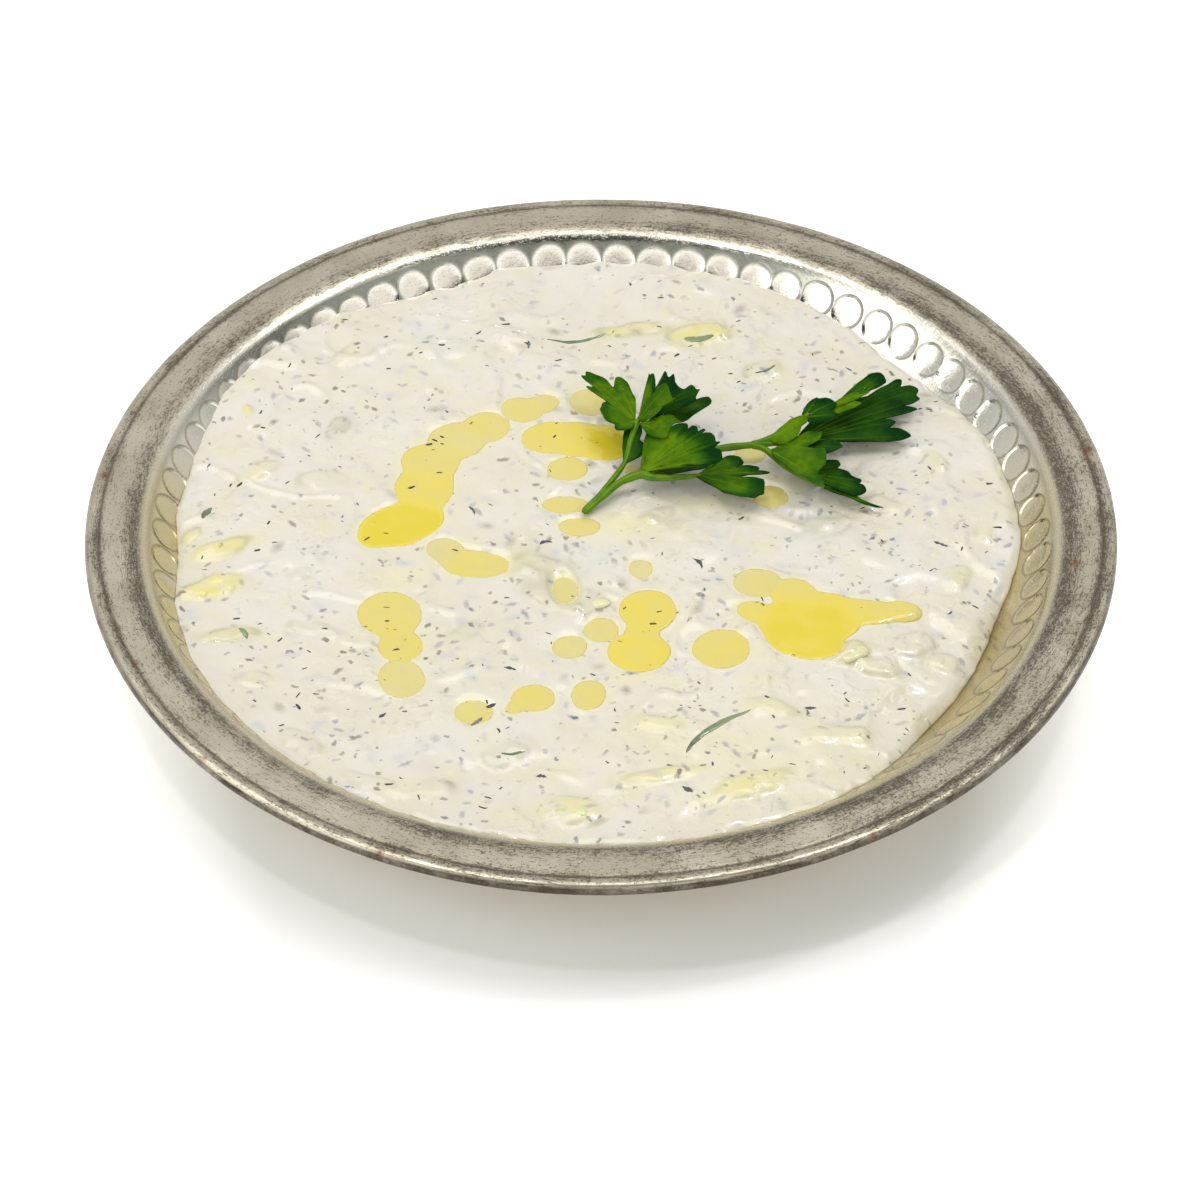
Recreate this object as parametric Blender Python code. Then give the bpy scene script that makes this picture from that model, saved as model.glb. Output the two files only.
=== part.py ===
"""Tzatziki dip filling a hand-beaten tinned copper dish, with a sprig of parsley lying on it.

The dish is one turned sheet: a flat floor, a wall that slopes up and out, a flat brim and a rolled bead
round its edge. The dip is one solid from the floor up to its own uneven top, and the parsley is one
solid of stems and cut leaves. Lengths are in millimetres and become metres where a mesh is made. The
origin is the middle of the dish's base, +Z is up, and the sprig lies towards +X and +Y.
"""
import math

import bmesh
import bpy
from mathutils import Matrix, Vector

MM = 0.001
SEGMENTS = 64                 # flat sides round the dish and the dip

# Dish: one sheet, measured on its upper face
DISH_RADIUS = 110.0
DISH_HEIGHT = 25.0
SHEET = 1.0
WALL_ANGLE = math.radians(42.7)
WALL_TOP_RADIUS = 98.07       # where the wall's line meets the brim's plane
FLOOR_FILLET = 8.0
BRIM_FOLD = 6.0
BEAD_RADIUS = 1.5
ARC_STEPS = 3

# Dip: level, and how its edge meets the wall
DIP_LEVEL = 20.3
DIP_EDGE_RADIUS = 93.3
CLEARANCE = 0.3               # kept between solids that touch
SMEAR = 0.9                   # thickness of dip that has climbed the wall
SHOULDER = 1.6                # how far in from its edge the dip reaches its level
EDGE_BAYS = [                 # azimuth in degrees, how far the edge moves out in mm, half-width in degrees
    (131.0, 3.2, 12.0),
    (183.0, -4.2, 9.0),
    (226.0, 1.2, 12.0),
    (336.0, -6.4, 15.0),
    (14.0, -3.4, 20.0),
]
WAVES = [                     # direction in degrees, wavelength in mm, height in mm, phase in radians
    (20.0, 74.0, 0.10, 0.4),
    (75.0, 53.0, 0.08, 2.1),
    (140.0, 39.0, 0.06, 4.0),
]
RING_SHARES = [0.0, 0.2, 0.38, 0.54, 0.68, 0.8, 0.88, 0.935, 0.965, 0.985, 1.0]

# Parsley: stems as paths with a radius at each end, leaves as fans of lobes
STEM_SIDES = 2                # bevel resolution: 8 flat sides
LEAF_THICKNESS = 0.9
VOXEL = 0.35                  # grain at which the sprig's pieces are melted together
KEPT_FACES = 0.055            # share of the melted sprig's faces that is kept
LEAF_DROOP = 0.06             # how far a leaf's margin bends down, as a share of its length
LEAF_COLUMNS = 21
LEAF_ROWS = 2
LOBE_ROUNDNESS = 0.45
LEAF_WEB = 0.72               # depth of leaf between its lobes, as a share of their length
LEAF_FOOT = 1.2               # least radius of a leaf round its foot
STEMS = {                     # radius at the start, radius at the end, path
    "left_stem": (1.0, 0.7, [
        (-4.0, 6.0, 21.8), (0.0, 11.5, 22.2), (5.0, 19.5, 23.5), (6.5, 25.0, 25.5), (8.0, 29.5, 27.7)]),
    "thick_stem": (1.1, 1.1, [
        (-3.5, 5.5, 21.9), (0.0, 10.0, 22.3), (4.0, 14.0, 22.9), (8.5, 15.5, 24.0), (10.5, 15.0, 24.0)]),
    "low_stem": (1.0, 0.6, [
        (8.5, 15.5, 24.0), (11.5, 14.0, 24.4), (15.5, 13.5, 24.8), (21.5, 14.0, 25.0)]),
    "long_stem": (1.0, 0.8, [
        (8.5, 15.5, 24.0), (14.0, 19.5, 23.3), (19.5, 21.5, 23.5), (24.5, 23.5, 24.0), (29.0, 24.0, 24.5),
        (33.0, 24.0, 25.0)]),
    "upper_branch": (0.8, 0.6, [
        (32.5, 24.0, 25.0), (36.5, 25.5, 25.5), (40.5, 27.5, 27.0), (44.5, 29.8, 28.0)]),
    "lower_branch": (0.8, 0.6, [
        (32.5, 24.0, 25.0), (35.5, 22.5, 25.0), (38.5, 19.0, 24.5), (43.0, 15.0, 24.0), (48.5, 12.0, 23.5)]),
    "tail_branch": (0.6, 0.6, [(44.0, 29.5, 28.0), (46.5, 32.0, 27.8), (50.0, 32.7, 27.6)]),
    "middle_branch": (0.7, 0.6, [(32.5, 24.0, 25.0), (37.5, 24.5, 25.0), (42.5, 25.4, 24.6)]),
}
LEAVES = {                    # foot, heading, pitch and roll in degrees, lobes as (angle, length, half-width)
    "left_leaf": ((7.5, 29.0, 27.5), 125, 5, 0, [
        (0, 18.5, 16), (10, 14.5, 9), (-20, 14.0, 22), (-28, 8.5, 16), (24, 8.5, 14), (58, 6.5, 14), (88, 5.5, 18)]),
    "left_fold": ((5.0, 19.5, 23.5), 75, 20, 0, [(0, 10.5, 16), (-34, 6.0, 16)]),
    "centre_leaf": ((8.5, 16.0, 24.0), 30, 35, 0, [
        (44, 10.5, 10), (26, 10.5, 10), (14, 11.5, 9), (0, 13.5, 13), (-16, 15.5, 11), (-24, 17.0, 9),
        (-34, 19.0, 9)]),
    "centre_fringe": ((9.0, 16.5, 24.0), 25, 30, 0, [
        (16, 14.0, 8), (6, 14.5, 6), (-2, 15.5, 6), (-10, 17.0, 7), (-20, 18.0, 6), (-26, 18.0, 6)]),
    "centre_low_lobe": ((10.0, 14.5, 24.0), 15, 5, 0, [(2, 16.5, 7), (4, 14.5, 8)]),
    "low_leaf": ((20.5, 14.0, 25.0), 0, 0, 0, [
        (40, 9.0, 18), (30, 11.5, 16), (14, 14.0, 12), (6, 16.0, 8), (-6, 15.0, 10), (-16, 15.0, 12),
        (-30, 14.0, 16), (-36, 10.0, 16)]),
    "back_spike": ((8.0, 29.0, 27.5), 65, 50, 0, [(0, 10.5, 9), (-8, 9.0, 9)]),
    "back_leaf": ((8.0, 29.0, 27.5), 30, 50, 0, [(0, 10.0, 14), (-26, 10.5, 16), (-12, 10.0, 14)]),
    "back_dark_leaf": ((8.0, 29.0, 27.5), 40, 20, 0, [
        (22, 14.0, 7), (14, 13.5, 7), (-10, 14.5, 9), (-18, 15.0, 9), (-24, 14.0, 9), (-8, 11.5, 20)]),
    "back_side_leaf": ((10.5, 29.5, 27.0), 25, 5, 0, [(0, 15.0, 11), (-6, 14.5, 8), (-20, 10.0, 14), (0, 9.5, 16)]),
    "front_fold": ((8.5, 27.5, 28.0), -15, 20, 0, [
        (14, 7.0, 14), (2, 9.0, 10), (-24, 8.5, 16), (-32, 6.0, 16), (-42, 3.5, 16)]),
    "upper_strip": ((36.5, 25.0, 25.5), 25, 25, 0, [(-2, 9.5, 16), (-26, 6.5, 16), (-40, 4.0, 18)]),
    "crown_leaf": ((44.0, 29.5, 28.0), 20, 10, 0, [
        (58, 4.0, 18), (40, 6.5, 20), (12, 8.0, 14), (-4, 8.0, 10), (-16, 7.0, 10), (-32, 7.0, 14), (-52, 5.0, 18)]),
    "broad_leaf": ((36.5, 22.0, 25.0), -20, 20, 0, [
        (30, 12.5, 14), (16, 11.5, 12), (-4, 14.0, 8), (-14, 15.0, 8), (-26, 18.0, 8), (-34, 20.5, 9),
        (-38, 12.5, 16)]),
    "broad_dark_tip": ((43.5, 15.5, 24.0), -10, 0, 0, [
        (34, 9.0, 13), (18, 10.0, 12), (4, 13.0, 9), (-6, 14.0, 9), (-20, 13.0, 9), (-24, 8.5, 14)]),
    "pointed_lobe": ((48.0, 12.0, 23.5), -20, -5, 0, [(0, 13.5, 5), (-8, 7.5, 9)]),
    "tail_leaf": ((42.0, 25.5, 24.5), 25, 0, 8, [
        (16, 27.0, 10), (16, 31.5, 7), (10, 33.5, 6), (6, 32.5, 5), (4, 32.0, 5), (0, 30.0, 4), (-6, 23.5, 5),
        (-12, 25.5, 5), (-18, 25.5, 5), (-20, 23.5, 7), (-20, 17.5, 8)]),
    "tail_top_leaf": ((49.5, 32.5, 27.5), 40, 10, 0, [(8, 11.0, 12), (8, 13.5, 9), (-2, 15.5, 9), (-12, 14.5, 10)]),
    "tail_low_strip": ((49.5, 32.5, 27.5), 10, 10, 0, [(-4, 7.5, 12), (8, 5.0, 12), (-34, 5.0, 20)]),
    "tail_high_strip": ((49.5, 32.5, 28.0), 25, 10, 0, [(4, 10.0, 9), (2, 7.5, 12)]),
    "small_tip": ((42.0, 25.0, 24.5), -5, -5, 0, [(0, 9.0, 10), (6, 8.0, 8)]),
}


def clear_scene():
    """Remove the objects that Blender opens with."""
    for existing in list(bpy.data.objects):
        bpy.data.objects.remove(existing)


def material(name, colour, roughness, metallic):
    """A Principled material with its colour, roughness and metallic value."""
    finish = bpy.data.materials.new(name)
    finish.use_nodes = True
    shader = finish.node_tree.nodes["Principled BSDF"]
    shader.inputs["Base Color"].default_value = (*colour, 1.0)
    shader.inputs["Roughness"].default_value = roughness
    shader.inputs["Metallic"].default_value = metallic
    return finish


def add_object(name, mesh, finish):
    """One named object in the scene, with its finish."""
    thing = bpy.data.objects.new(name, mesh)
    mesh.materials.append(finish)
    bpy.context.scene.collection.objects.link(thing)
    return thing


def arc(centre, radius, start, end, steps):
    """Points (r, z) on a circle from the start angle to the end angle, both included."""
    angles = [start + (end - start) * step / steps for step in range(steps + 1)]
    return [(centre[0] + radius * math.cos(a), centre[1] + radius * math.sin(a)) for a in angles]


# ---------------------------------------------------------------- dish

def fillet_centre():
    """Centre of the arc between the floor and the wall, and of the one between the wall and the brim."""
    slope = math.tan(WALL_ANGLE)
    half = math.tan(WALL_ANGLE / 2)
    floor_meets_wall = WALL_TOP_RADIUS - (DISH_HEIGHT - SHEET) / slope
    floor = (floor_meets_wall - FLOOR_FILLET * half, SHEET + FLOOR_FILLET)
    brim = (WALL_TOP_RADIUS + BRIM_FOLD * half, DISH_HEIGHT - BRIM_FOLD)
    return floor, brim


def inner_face(offset):
    """The sheet's face from the floor's edge to the brim, moved up and inwards by offset."""
    floor, brim = fillet_centre()
    down = -math.pi / 2
    lower = arc(floor, FLOOR_FILLET - offset, down, down + WALL_ANGLE, ARC_STEPS)
    upper = arc(brim, BRIM_FOLD + offset, math.pi / 2 + WALL_ANGLE, math.pi / 2, ARC_STEPS)
    return lower + upper


def dish_profile():
    """The sheet's closed half-section from the axis over its upper face, round the bead and back below."""
    bead = (DISH_RADIUS - BEAD_RADIUS, DISH_HEIGHT - BEAD_RADIUS)
    under_brim = DISH_HEIGHT - SHEET
    back = -math.pi - math.asin((under_brim - bead[1]) / BEAD_RADIUS)
    rolled = arc(bead, BEAD_RADIUS, math.pi / 2, back, 8)
    below = list(reversed(inner_face(-SHEET)))
    return [(0.0, SHEET)] + inner_face(0.0) + rolled + below + [(0.0, 0.0)]


def make_dish(finish):
    """Turn the half-section once round the axis."""
    mesh = bpy.data.meshes.new("dish")
    profile = [(r * MM, 0.0, z * MM) for r, z in dish_profile()]
    edges = [(i, i + 1) for i in range(len(profile) - 1)]
    mesh.from_pydata(profile, edges, [])
    dish = add_object("dish", mesh, finish)
    turn = dish.modifiers.new("turn", "SCREW")
    turn.axis = "Z"
    turn.steps = SEGMENTS
    turn.render_steps = SEGMENTS
    turn.use_merge_vertices = True
    turn.merge_threshold = 0.00001
    return dish


# ---------------------------------------------------------------- dip

def wall_height(radius, lift):
    """Height of the wall's upper face at a radius, raised by lift square to the wall."""
    slope = math.tan(WALL_ANGLE)
    return DISH_HEIGHT - (WALL_TOP_RADIUS - radius) * slope + lift / math.cos(WALL_ANGLE)


def edge_radius(azimuth):
    """Radius of the dip's edge: a circle that bays push out and in."""
    radius = DIP_EDGE_RADIUS
    for centre, depth, half_width in EDGE_BAYS:
        away = (azimuth - centre + 180.0) % 360.0 - 180.0
        radius += depth * math.exp(-((away / half_width) ** 2))
    return radius


def relief(x, y):
    """Soft waves over the dip."""
    total = 0.0
    for direction, length, height, phase in WAVES:
        turn = math.radians(direction)
        along = x * math.cos(turn) + y * math.sin(turn)
        total += height * math.sin(2 * math.pi * along / length + phase)
    return total


def dip_height(radius, azimuth):
    """Top of the dip: its level and waves inside, and a rounded shoulder or a smear down to the wall."""
    turn = math.radians(azimuth)
    level = DIP_LEVEL + relief(radius * math.cos(turn), radius * math.sin(turn))
    wall = wall_height(radius, CLEARANCE)
    edge = edge_radius(azimuth)
    drop = max(level - wall_height(edge, CLEARANCE), 0.0)
    share = min((edge - radius) / (SHOULDER + 0.8 * drop), 1.0)
    depth = (level - wall + SMEAR + math.hypot(level - wall - SMEAR, 0.5)) / 2
    if share >= 1.0 and level - wall > 4.0:
        return level
    return wall + depth * math.sqrt(max(1.0 - (1.0 - share) ** 2, 0.0))


def ring(mesh, radius_at, height_at):
    """A ring of vertices, its radius and height given for each azimuth."""
    points = []
    for step in range(SEGMENTS):
        azimuth = 360.0 * step / SEGMENTS
        radius = radius_at(azimuth)
        turn = math.radians(azimuth)
        place = (radius * math.cos(turn), radius * math.sin(turn), height_at(radius, azimuth))
        points.append(mesh.verts.new(Vector(place) * MM))
    return points


def join_rings(mesh, inner, outer):
    """A band of faces between two rings, seen from above with the inner ring first."""
    for step in range(SEGMENTS):
        after = (step + 1) % SEGMENTS
        mesh.faces.new((inner[step], outer[step], outer[after], inner[after]))


def make_dip(finish):
    """Rings from the middle out to the edge, then back down the wall and over the floor."""
    mesh = bmesh.new()
    rings = []
    for share in RING_SHARES[1:]:
        rings.append(ring(mesh, lambda a, s=share: s * edge_radius(a), dip_height))
    floor_arc = [(r, z) for r, z in inner_face(CLEARANCE) if r < DIP_EDGE_RADIUS - 10.0]
    for r, z in reversed(floor_arc):
        rings.append(ring(mesh, lambda a, r=r: r, lambda radius, a, z=z: z))
    for inner, outer in zip(rings, rings[1:]):
        join_rings(mesh, inner, outer)
    top = mesh.verts.new(Vector((0.0, 0.0, dip_height(0.0, 0.0))) * MM)
    bottom = mesh.verts.new(Vector((0.0, 0.0, SHEET + CLEARANCE)) * MM)
    for step in range(SEGMENTS):
        after = (step + 1) % SEGMENTS
        mesh.faces.new((top, rings[0][step], rings[0][after]))
        mesh.faces.new((bottom, rings[-1][after], rings[-1][step]))
    bmesh.ops.recalc_face_normals(mesh, faces=mesh.faces)
    result = bpy.data.meshes.new("dip")
    mesh.to_mesh(result)
    mesh.free()
    result.shade_smooth()
    return add_object("dip", result, finish)


# ---------------------------------------------------------------- parsley

def stem_mesh(name, start_radius, end_radius, path):
    """A tapered round bar along a path."""
    curve = bpy.data.curves.new(name, "CURVE")
    curve.dimensions = "3D"
    curve.bevel_depth = MM
    curve.bevel_resolution = STEM_SIDES
    curve.use_fill_caps = True
    spline = curve.splines.new("POLY")
    spline.points.add(len(path) - 1)
    for index, place in enumerate(path):
        share = index / (len(path) - 1)
        spline.points[index].co = (*(Vector(place) * MM), 1.0)
        spline.points[index].radius = start_radius + (end_radius - start_radius) * share
    guide = bpy.data.objects.new(name, curve)
    bpy.context.scene.collection.objects.link(guide)
    mesh = bpy.data.meshes.new_from_object(guide.evaluated_get(bpy.context.evaluated_depsgraph_get()))
    bpy.data.objects.remove(guide)
    return mesh


def margin(angle, lobes):
    """Distance from a leaf's foot to its margin: the longest of its lobes there, or the web between them."""
    reach = LEAF_FOOT
    for centre, length, half_width in lobes:
        away = abs(angle - centre) / half_width
        if away < 1.0:
            reach = max(reach, length * math.cos(away * math.pi / 2) ** LOBE_ROUNDNESS)
    ordered = sorted(lobes)
    for (low, first, _), (high, second, _) in zip(ordered, ordered[1:]):
        if low <= angle <= high and high > low:
            between = first + (second - first) * (angle - low) / (high - low)
            reach = max(reach, LEAF_WEB * between)
    return reach


def add_leaf(mesh, foot, heading, pitch, roll, lobes):
    """A closed fan: rows and columns from the foot out to the margin on each side, and a rim round them."""
    placed = (
        Matrix.Translation(Vector(foot))
        @ Matrix.Rotation(math.radians(heading), 4, "Z")
        @ Matrix.Rotation(-math.radians(pitch), 4, "Y")
        @ Matrix.Rotation(math.radians(roll), 4, "X")
    )
    longest = max(length for _, length, _ in lobes)
    low = min(centre - half for centre, _, half in lobes)
    high = max(centre + half for centre, _, half in lobes)

    def side(height):
        """The foot and the rows of one face, with the margin sagging."""
        rows = [[mesh.verts.new(placed @ Vector((0.0, 0.0, height)) * MM)]]
        for row in range(1, LEAF_ROWS + 1):
            points = []
            for column in range(LEAF_COLUMNS):
                angle = low + (high - low) * column / (LEAF_COLUMNS - 1)
                reach = margin(angle, lobes) * row / LEAF_ROWS
                sag = height - LEAF_DROOP * longest * (reach / longest) ** 2
                turn = math.radians(angle)
                flat = Vector((reach * math.cos(turn), reach * math.sin(turn), sag))
                points.append(mesh.verts.new(placed @ flat * MM))
            rows.append(points)
        return rows

    upper = side(LEAF_THICKNESS / 2)
    under = side(-LEAF_THICKNESS / 2)
    for rows, outward in ((upper, 1), (under, -1)):
        for column in range(LEAF_COLUMNS - 1):
            mesh.faces.new((rows[0][0], rows[1][column], rows[1][column + 1])[::outward])
            for inner, outer in zip(rows[1:], rows[2:]):
                face = (inner[column], outer[column], outer[column + 1], inner[column + 1])
                mesh.faces.new(face[::outward])
    first = [rows[0] for rows in upper]
    last = [rows[-1] for rows in upper]
    loop = first + upper[-1][1:] + last[-2:0:-1]
    first = [rows[0] for rows in under]
    last = [rows[-1] for rows in under]
    loop_under = first + under[-1][1:] + last[-2:0:-1]
    for index, (top, bottom) in enumerate(zip(loop, loop_under)):
        after = (index + 1) % len(loop)
        mesh.faces.new((top, bottom, loop_under[after], loop[after]))


def make_parsley(finish):
    """Every stem and leaf in one mesh, melted into one solid and thinned to fewer faces."""
    mesh = bmesh.new()
    for name, (start_radius, end_radius, path) in STEMS.items():
        mesh.from_mesh(stem_mesh(name, start_radius, end_radius, path))
    for foot, heading, pitch, roll, lobes in LEAVES.values():
        add_leaf(mesh, foot, heading, pitch, roll, lobes)
    joined = bpy.data.meshes.new("parsley")
    mesh.to_mesh(joined)
    mesh.free()
    parsley = add_object("parsley", joined, finish)
    melt = parsley.modifiers.new("melt", "REMESH")
    melt.mode = "VOXEL"
    melt.voxel_size = VOXEL * MM
    thin = parsley.modifiers.new("thin", "DECIMATE")
    thin.ratio = KEPT_FACES
    return parsley


def main():
    """Dish, dip and parsley, all placed as they rest."""
    clear_scene()
    make_dish(material("tinned copper", (0.55, 0.52, 0.48), 0.35, 1.0))
    make_dip(material("yoghurt dip", (0.87, 0.84, 0.76), 0.35, 0.0))
    make_parsley(material("parsley green", (0.07, 0.20, 0.02), 0.4, 0.0))


main()
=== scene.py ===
"""Looks of a tzatziki dip in a hand-beaten tinned copper dish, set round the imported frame.

The frame gives three nodes: the turned dish, the dip that fills it and a parsley sprig lying on the dip.
Each is replaced by a finer piece of the same size in the same place: the dish gets its thumb marks, rolled
bead and worn tin, the dip its wet uneven top, and the sprig its cut leaves with their veins. Further pieces
lie on the dip: pools of olive oil, cucumber, flecks and shreds of herb, and drops of water on the leaves.

Every shape is a function of two parameters worked out on whole arrays. Lengths are in millimetres, with the
origin in the middle of the dish's base and +Z up, and become metres where a mesh is made.
"""
import math

import bpy
import numpy as np
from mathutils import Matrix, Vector


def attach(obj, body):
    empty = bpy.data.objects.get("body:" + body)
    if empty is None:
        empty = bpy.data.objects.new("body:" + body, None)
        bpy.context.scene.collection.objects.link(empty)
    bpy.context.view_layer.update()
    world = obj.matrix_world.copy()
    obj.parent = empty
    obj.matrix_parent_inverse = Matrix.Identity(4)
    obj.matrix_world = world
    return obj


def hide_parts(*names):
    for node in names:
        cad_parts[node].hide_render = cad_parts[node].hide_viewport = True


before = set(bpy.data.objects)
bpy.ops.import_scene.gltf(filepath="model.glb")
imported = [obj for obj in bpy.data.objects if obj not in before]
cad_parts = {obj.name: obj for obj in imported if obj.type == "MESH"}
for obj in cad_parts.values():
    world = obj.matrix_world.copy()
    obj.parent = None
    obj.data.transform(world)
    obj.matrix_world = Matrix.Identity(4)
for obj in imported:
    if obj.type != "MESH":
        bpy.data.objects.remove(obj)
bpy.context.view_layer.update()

MM = 0.001
TURN = 2 * np.pi


# ---------------------------------------------------------------- whole-array tools

def smooth(low, high, value):
    """0 below low, 1 above high, and 3t²-2t³ between them."""
    share = np.clip((value - low) / (high - low), 0.0, 1.0)
    return share * share * (3.0 - 2.0 * share)


def fixed_chance(first, second, seed):
    """A number from 0 to 1 that looks random but is fixed for each pair of whole numbers and seed."""
    mixed = (np.asarray(first).astype(np.int64) * 374761393
             + np.asarray(second).astype(np.int64) * 668265263 + seed * 974711) & 0xFFFFFFFF
    mixed = ((mixed ^ (mixed >> 13)) * 1274126177) & 0xFFFFFFFF
    return ((mixed ^ (mixed >> 16)) & 0xFFFF) / 65535.0


def noise(x, y, size, seed):
    """Heights from -1 to 1: chances at the points of a square lattice, eased from each point to the next."""
    slant = 0.6 + 1.3 * seed
    u = (x * math.cos(slant) + y * math.sin(slant)) / size
    v = (y * math.cos(slant) - x * math.sin(slant)) / size
    column, row = np.floor(u), np.floor(v)
    along, across = smooth(0, 1, u - column), smooth(0, 1, v - row)
    near = fixed_chance(column, row, seed) * (1 - along) + fixed_chance(column + 1, row, seed) * along
    far = fixed_chance(column, row + 1, seed) * (1 - along) + fixed_chance(column + 1, row + 1, seed) * along
    return 2.0 * (near * (1 - across) + far * across) - 1.0


def mound(x, y, middle, half_sizes, turn):
    """Distance from a turned ellipse's middle in half-sizes: 0 at the middle and 1 on its outline."""
    cos, sin = math.cos(math.radians(turn)), math.sin(math.radians(turn))
    along = ((x - middle[0]) * cos + (y - middle[1]) * sin) / half_sizes[0]
    across = ((y - middle[1]) * cos - (x - middle[0]) * sin) / half_sizes[1]
    return np.sqrt(along ** 2 + across ** 2)


def curve_at(path, place):
    """Points on a smooth curve through the given ones, at places counted in points from the first: a Catmull-Rom
    curve, cubic from each to the next."""
    path = np.asarray(path, float)
    ends = np.vstack([2 * path[0] - path[1], path, 2 * path[-1] - path[-2]])
    place = np.clip(place, 0, len(path) - 1 - 1e-9)
    first = place.astype(int)
    t = (place - first)[..., None]
    a, b, c, d = (ends[first + step] for step in range(4))
    return 0.5 * (2 * b + (c - a) * t + (2 * a - 5 * b + 4 * c - d) * t ** 2 + (3 * b - a - 3 * c + d) * t ** 3)


def path_points(path, count):
    """Evenly placed points along the smooth curve through the given ones."""
    return curve_at(path, np.linspace(0, len(path) - 1, count))


# ---------------------------------------------------------------- meshes

def grid_faces(rows, columns, closed):
    """Quads of a grid: each row joined to the next, and the last column to the first where it is closed."""
    steps = columns if closed else columns - 1
    row, column = np.meshgrid(np.arange(rows - 1), np.arange(steps), indexing="ij")
    after = (column + 1) % columns
    quads = [row * columns + column, (row + 1) * columns + column, (row + 1) * columns + after, row * columns + after]
    return np.stack(quads, -1).reshape(-1, 4)


def fan_faces(ring, pole):
    """Triangles that close a ring of vertex numbers with a pole, facing the pole's side as the ring turns."""
    return np.stack([np.full(len(ring), pole), ring, np.roll(ring, -1)], -1)


def make_piece(name, points, face_sets, finishes, marks=None, face_finish=None):
    """A mesh object from points in mm and sets of faces with equal corners, riding on the root body.
    marks holds values for each point or each face corner, and face_finish the number of each face's material."""
    points = np.asarray(points, float).reshape(-1, 3)
    mesh = bpy.data.meshes.new(name)
    corners = np.concatenate([faces.ravel() for faces in face_sets])
    sizes = np.concatenate([np.full(len(faces), faces.shape[1]) for faces in face_sets])
    mesh.vertices.add(len(points))
    mesh.vertices.foreach_set("co", (points * MM).astype(np.float32).ravel())
    mesh.loops.add(len(corners))
    mesh.loops.foreach_set("vertex_index", corners.astype(np.int32))
    mesh.polygons.add(len(sizes))
    mesh.polygons.foreach_set("loop_start", np.concatenate([[0], np.cumsum(sizes)[:-1]]).astype(np.int32))
    mesh.update(calc_edges=True)
    for mark, values in (marks or {}).items():
        values = np.asarray(values, np.float32)
        field = mesh.attributes.new(mark, "FLOAT_VECTOR" if values.ndim == 2 else "FLOAT",
                                    "POINT" if len(values) == len(points) else "CORNER")
        field.data.foreach_set("vector" if values.ndim == 2 else "value", values.ravel())
    for finish in finishes:
        mesh.materials.append(finish)
    if face_finish is not None:
        mesh.polygons.foreach_set("material_index", np.asarray(face_finish, np.int32))
    mesh.shade_smooth()
    piece = bpy.data.objects.new(name, mesh)
    bpy.context.scene.collection.objects.link(piece)
    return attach(piece, "root")


def thick_patch(upper, under):
    """A closed patch from two grids of points, one above the other: both faces and a rim round their four sides."""
    rows, columns = upper.shape[:2]
    count = rows * columns
    top = grid_faces(rows, columns, False)
    number = np.arange(count).reshape(rows, columns)
    rim = np.concatenate([number[:-1, 0], number[-1, :-1], number[:0:-1, -1], number[0, :0:-1]])
    after = np.roll(rim, -1)
    sides = np.stack([rim, rim + count, after + count, after], -1)
    points = np.concatenate([upper.reshape(-1, 3), under.reshape(-1, 3)])
    return points, np.concatenate([top, top[:, ::-1] + count, sides])


def turned_faces(rows, columns):
    """Faces of closed rings of points with a pole before the first and one after the last."""
    number = np.arange(rows * columns).reshape(rows, columns)
    first, last = rows * columns, rows * columns + 1
    return grid_faces(rows, columns, True), fan_faces(number[0], first), fan_faces(number[-1, ::-1], last)


def join_parts(parts):
    """One list of points, of faces and of marks from several (points, faces, marks) with equal corners."""
    shift, points, faces, marks = 0, [], [], {}
    for part_points, part_faces, part_marks in parts:
        points.append(part_points)
        faces.append(part_faces + shift)
        shift += len(part_points)
        for mark, values in part_marks.items():
            marks.setdefault(mark, []).append(np.broadcast_to(values, len(part_points)))
    return np.concatenate(points), np.concatenate(faces), {m: np.concatenate(v) for m, v in marks.items()}


# ---------------------------------------------------------------- dish

DISH_HEIGHT = 25.0
SHEET = 1.0
WALL_ANGLE = math.radians(42.7)
WALL_TOP_RADIUS = 98.07
FILLET_MIDDLE, FILLET_RADIUS = (68.93, 9.0), 8.0
FOLD_MIDDLE, FOLD_RADIUS = (100.42, 19.0), 6.0
BEAD_MIDDLE, BEAD_RADIUS = (108.5, 23.5), 1.5
GROOVE_RADIUS, GROOVE_WIDTH, GROOVE_DEPTH = 106.9, 0.5, 0.10
MARKS = 74                    # thumb marks beaten round the wall
MARK_RADIUS, MARK_HALF_WIDTH, MARK_HALF_HEIGHT, MARK_DEPTH = 93.0, 4.0, 4.0, 0.27
MARK_COLUMNS = 14             # columns of the dish's grid across one mark


def mark_place(radius, azimuth, number):
    """A point's place across and along a numbered thumb mark, in half-sizes from its middle. Each mark differs a
    little in place and size and leans a little."""
    moved, raised, wide, tall, leant = (fixed_chance(np.mod(number, MARKS), trait, 5) - 0.5 for trait in (0, 1, 2, 3, 5))
    up = (radius - MARK_RADIUS) / math.cos(WALL_ANGLE)
    along = (up - 0.5 * raised) / (MARK_HALF_HEIGHT * (1 + 0.12 * tall))
    across = (azimuth - (number + 0.08 * moved) * TURN / MARKS) * MARK_RADIUS / (MARK_HALF_WIDTH * (1 + 0.08 * wide))
    return across - (0.18 * np.sin(azimuth) ** 2 * leant + 0.14 * np.cos(azimuth)) * along, along


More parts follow.
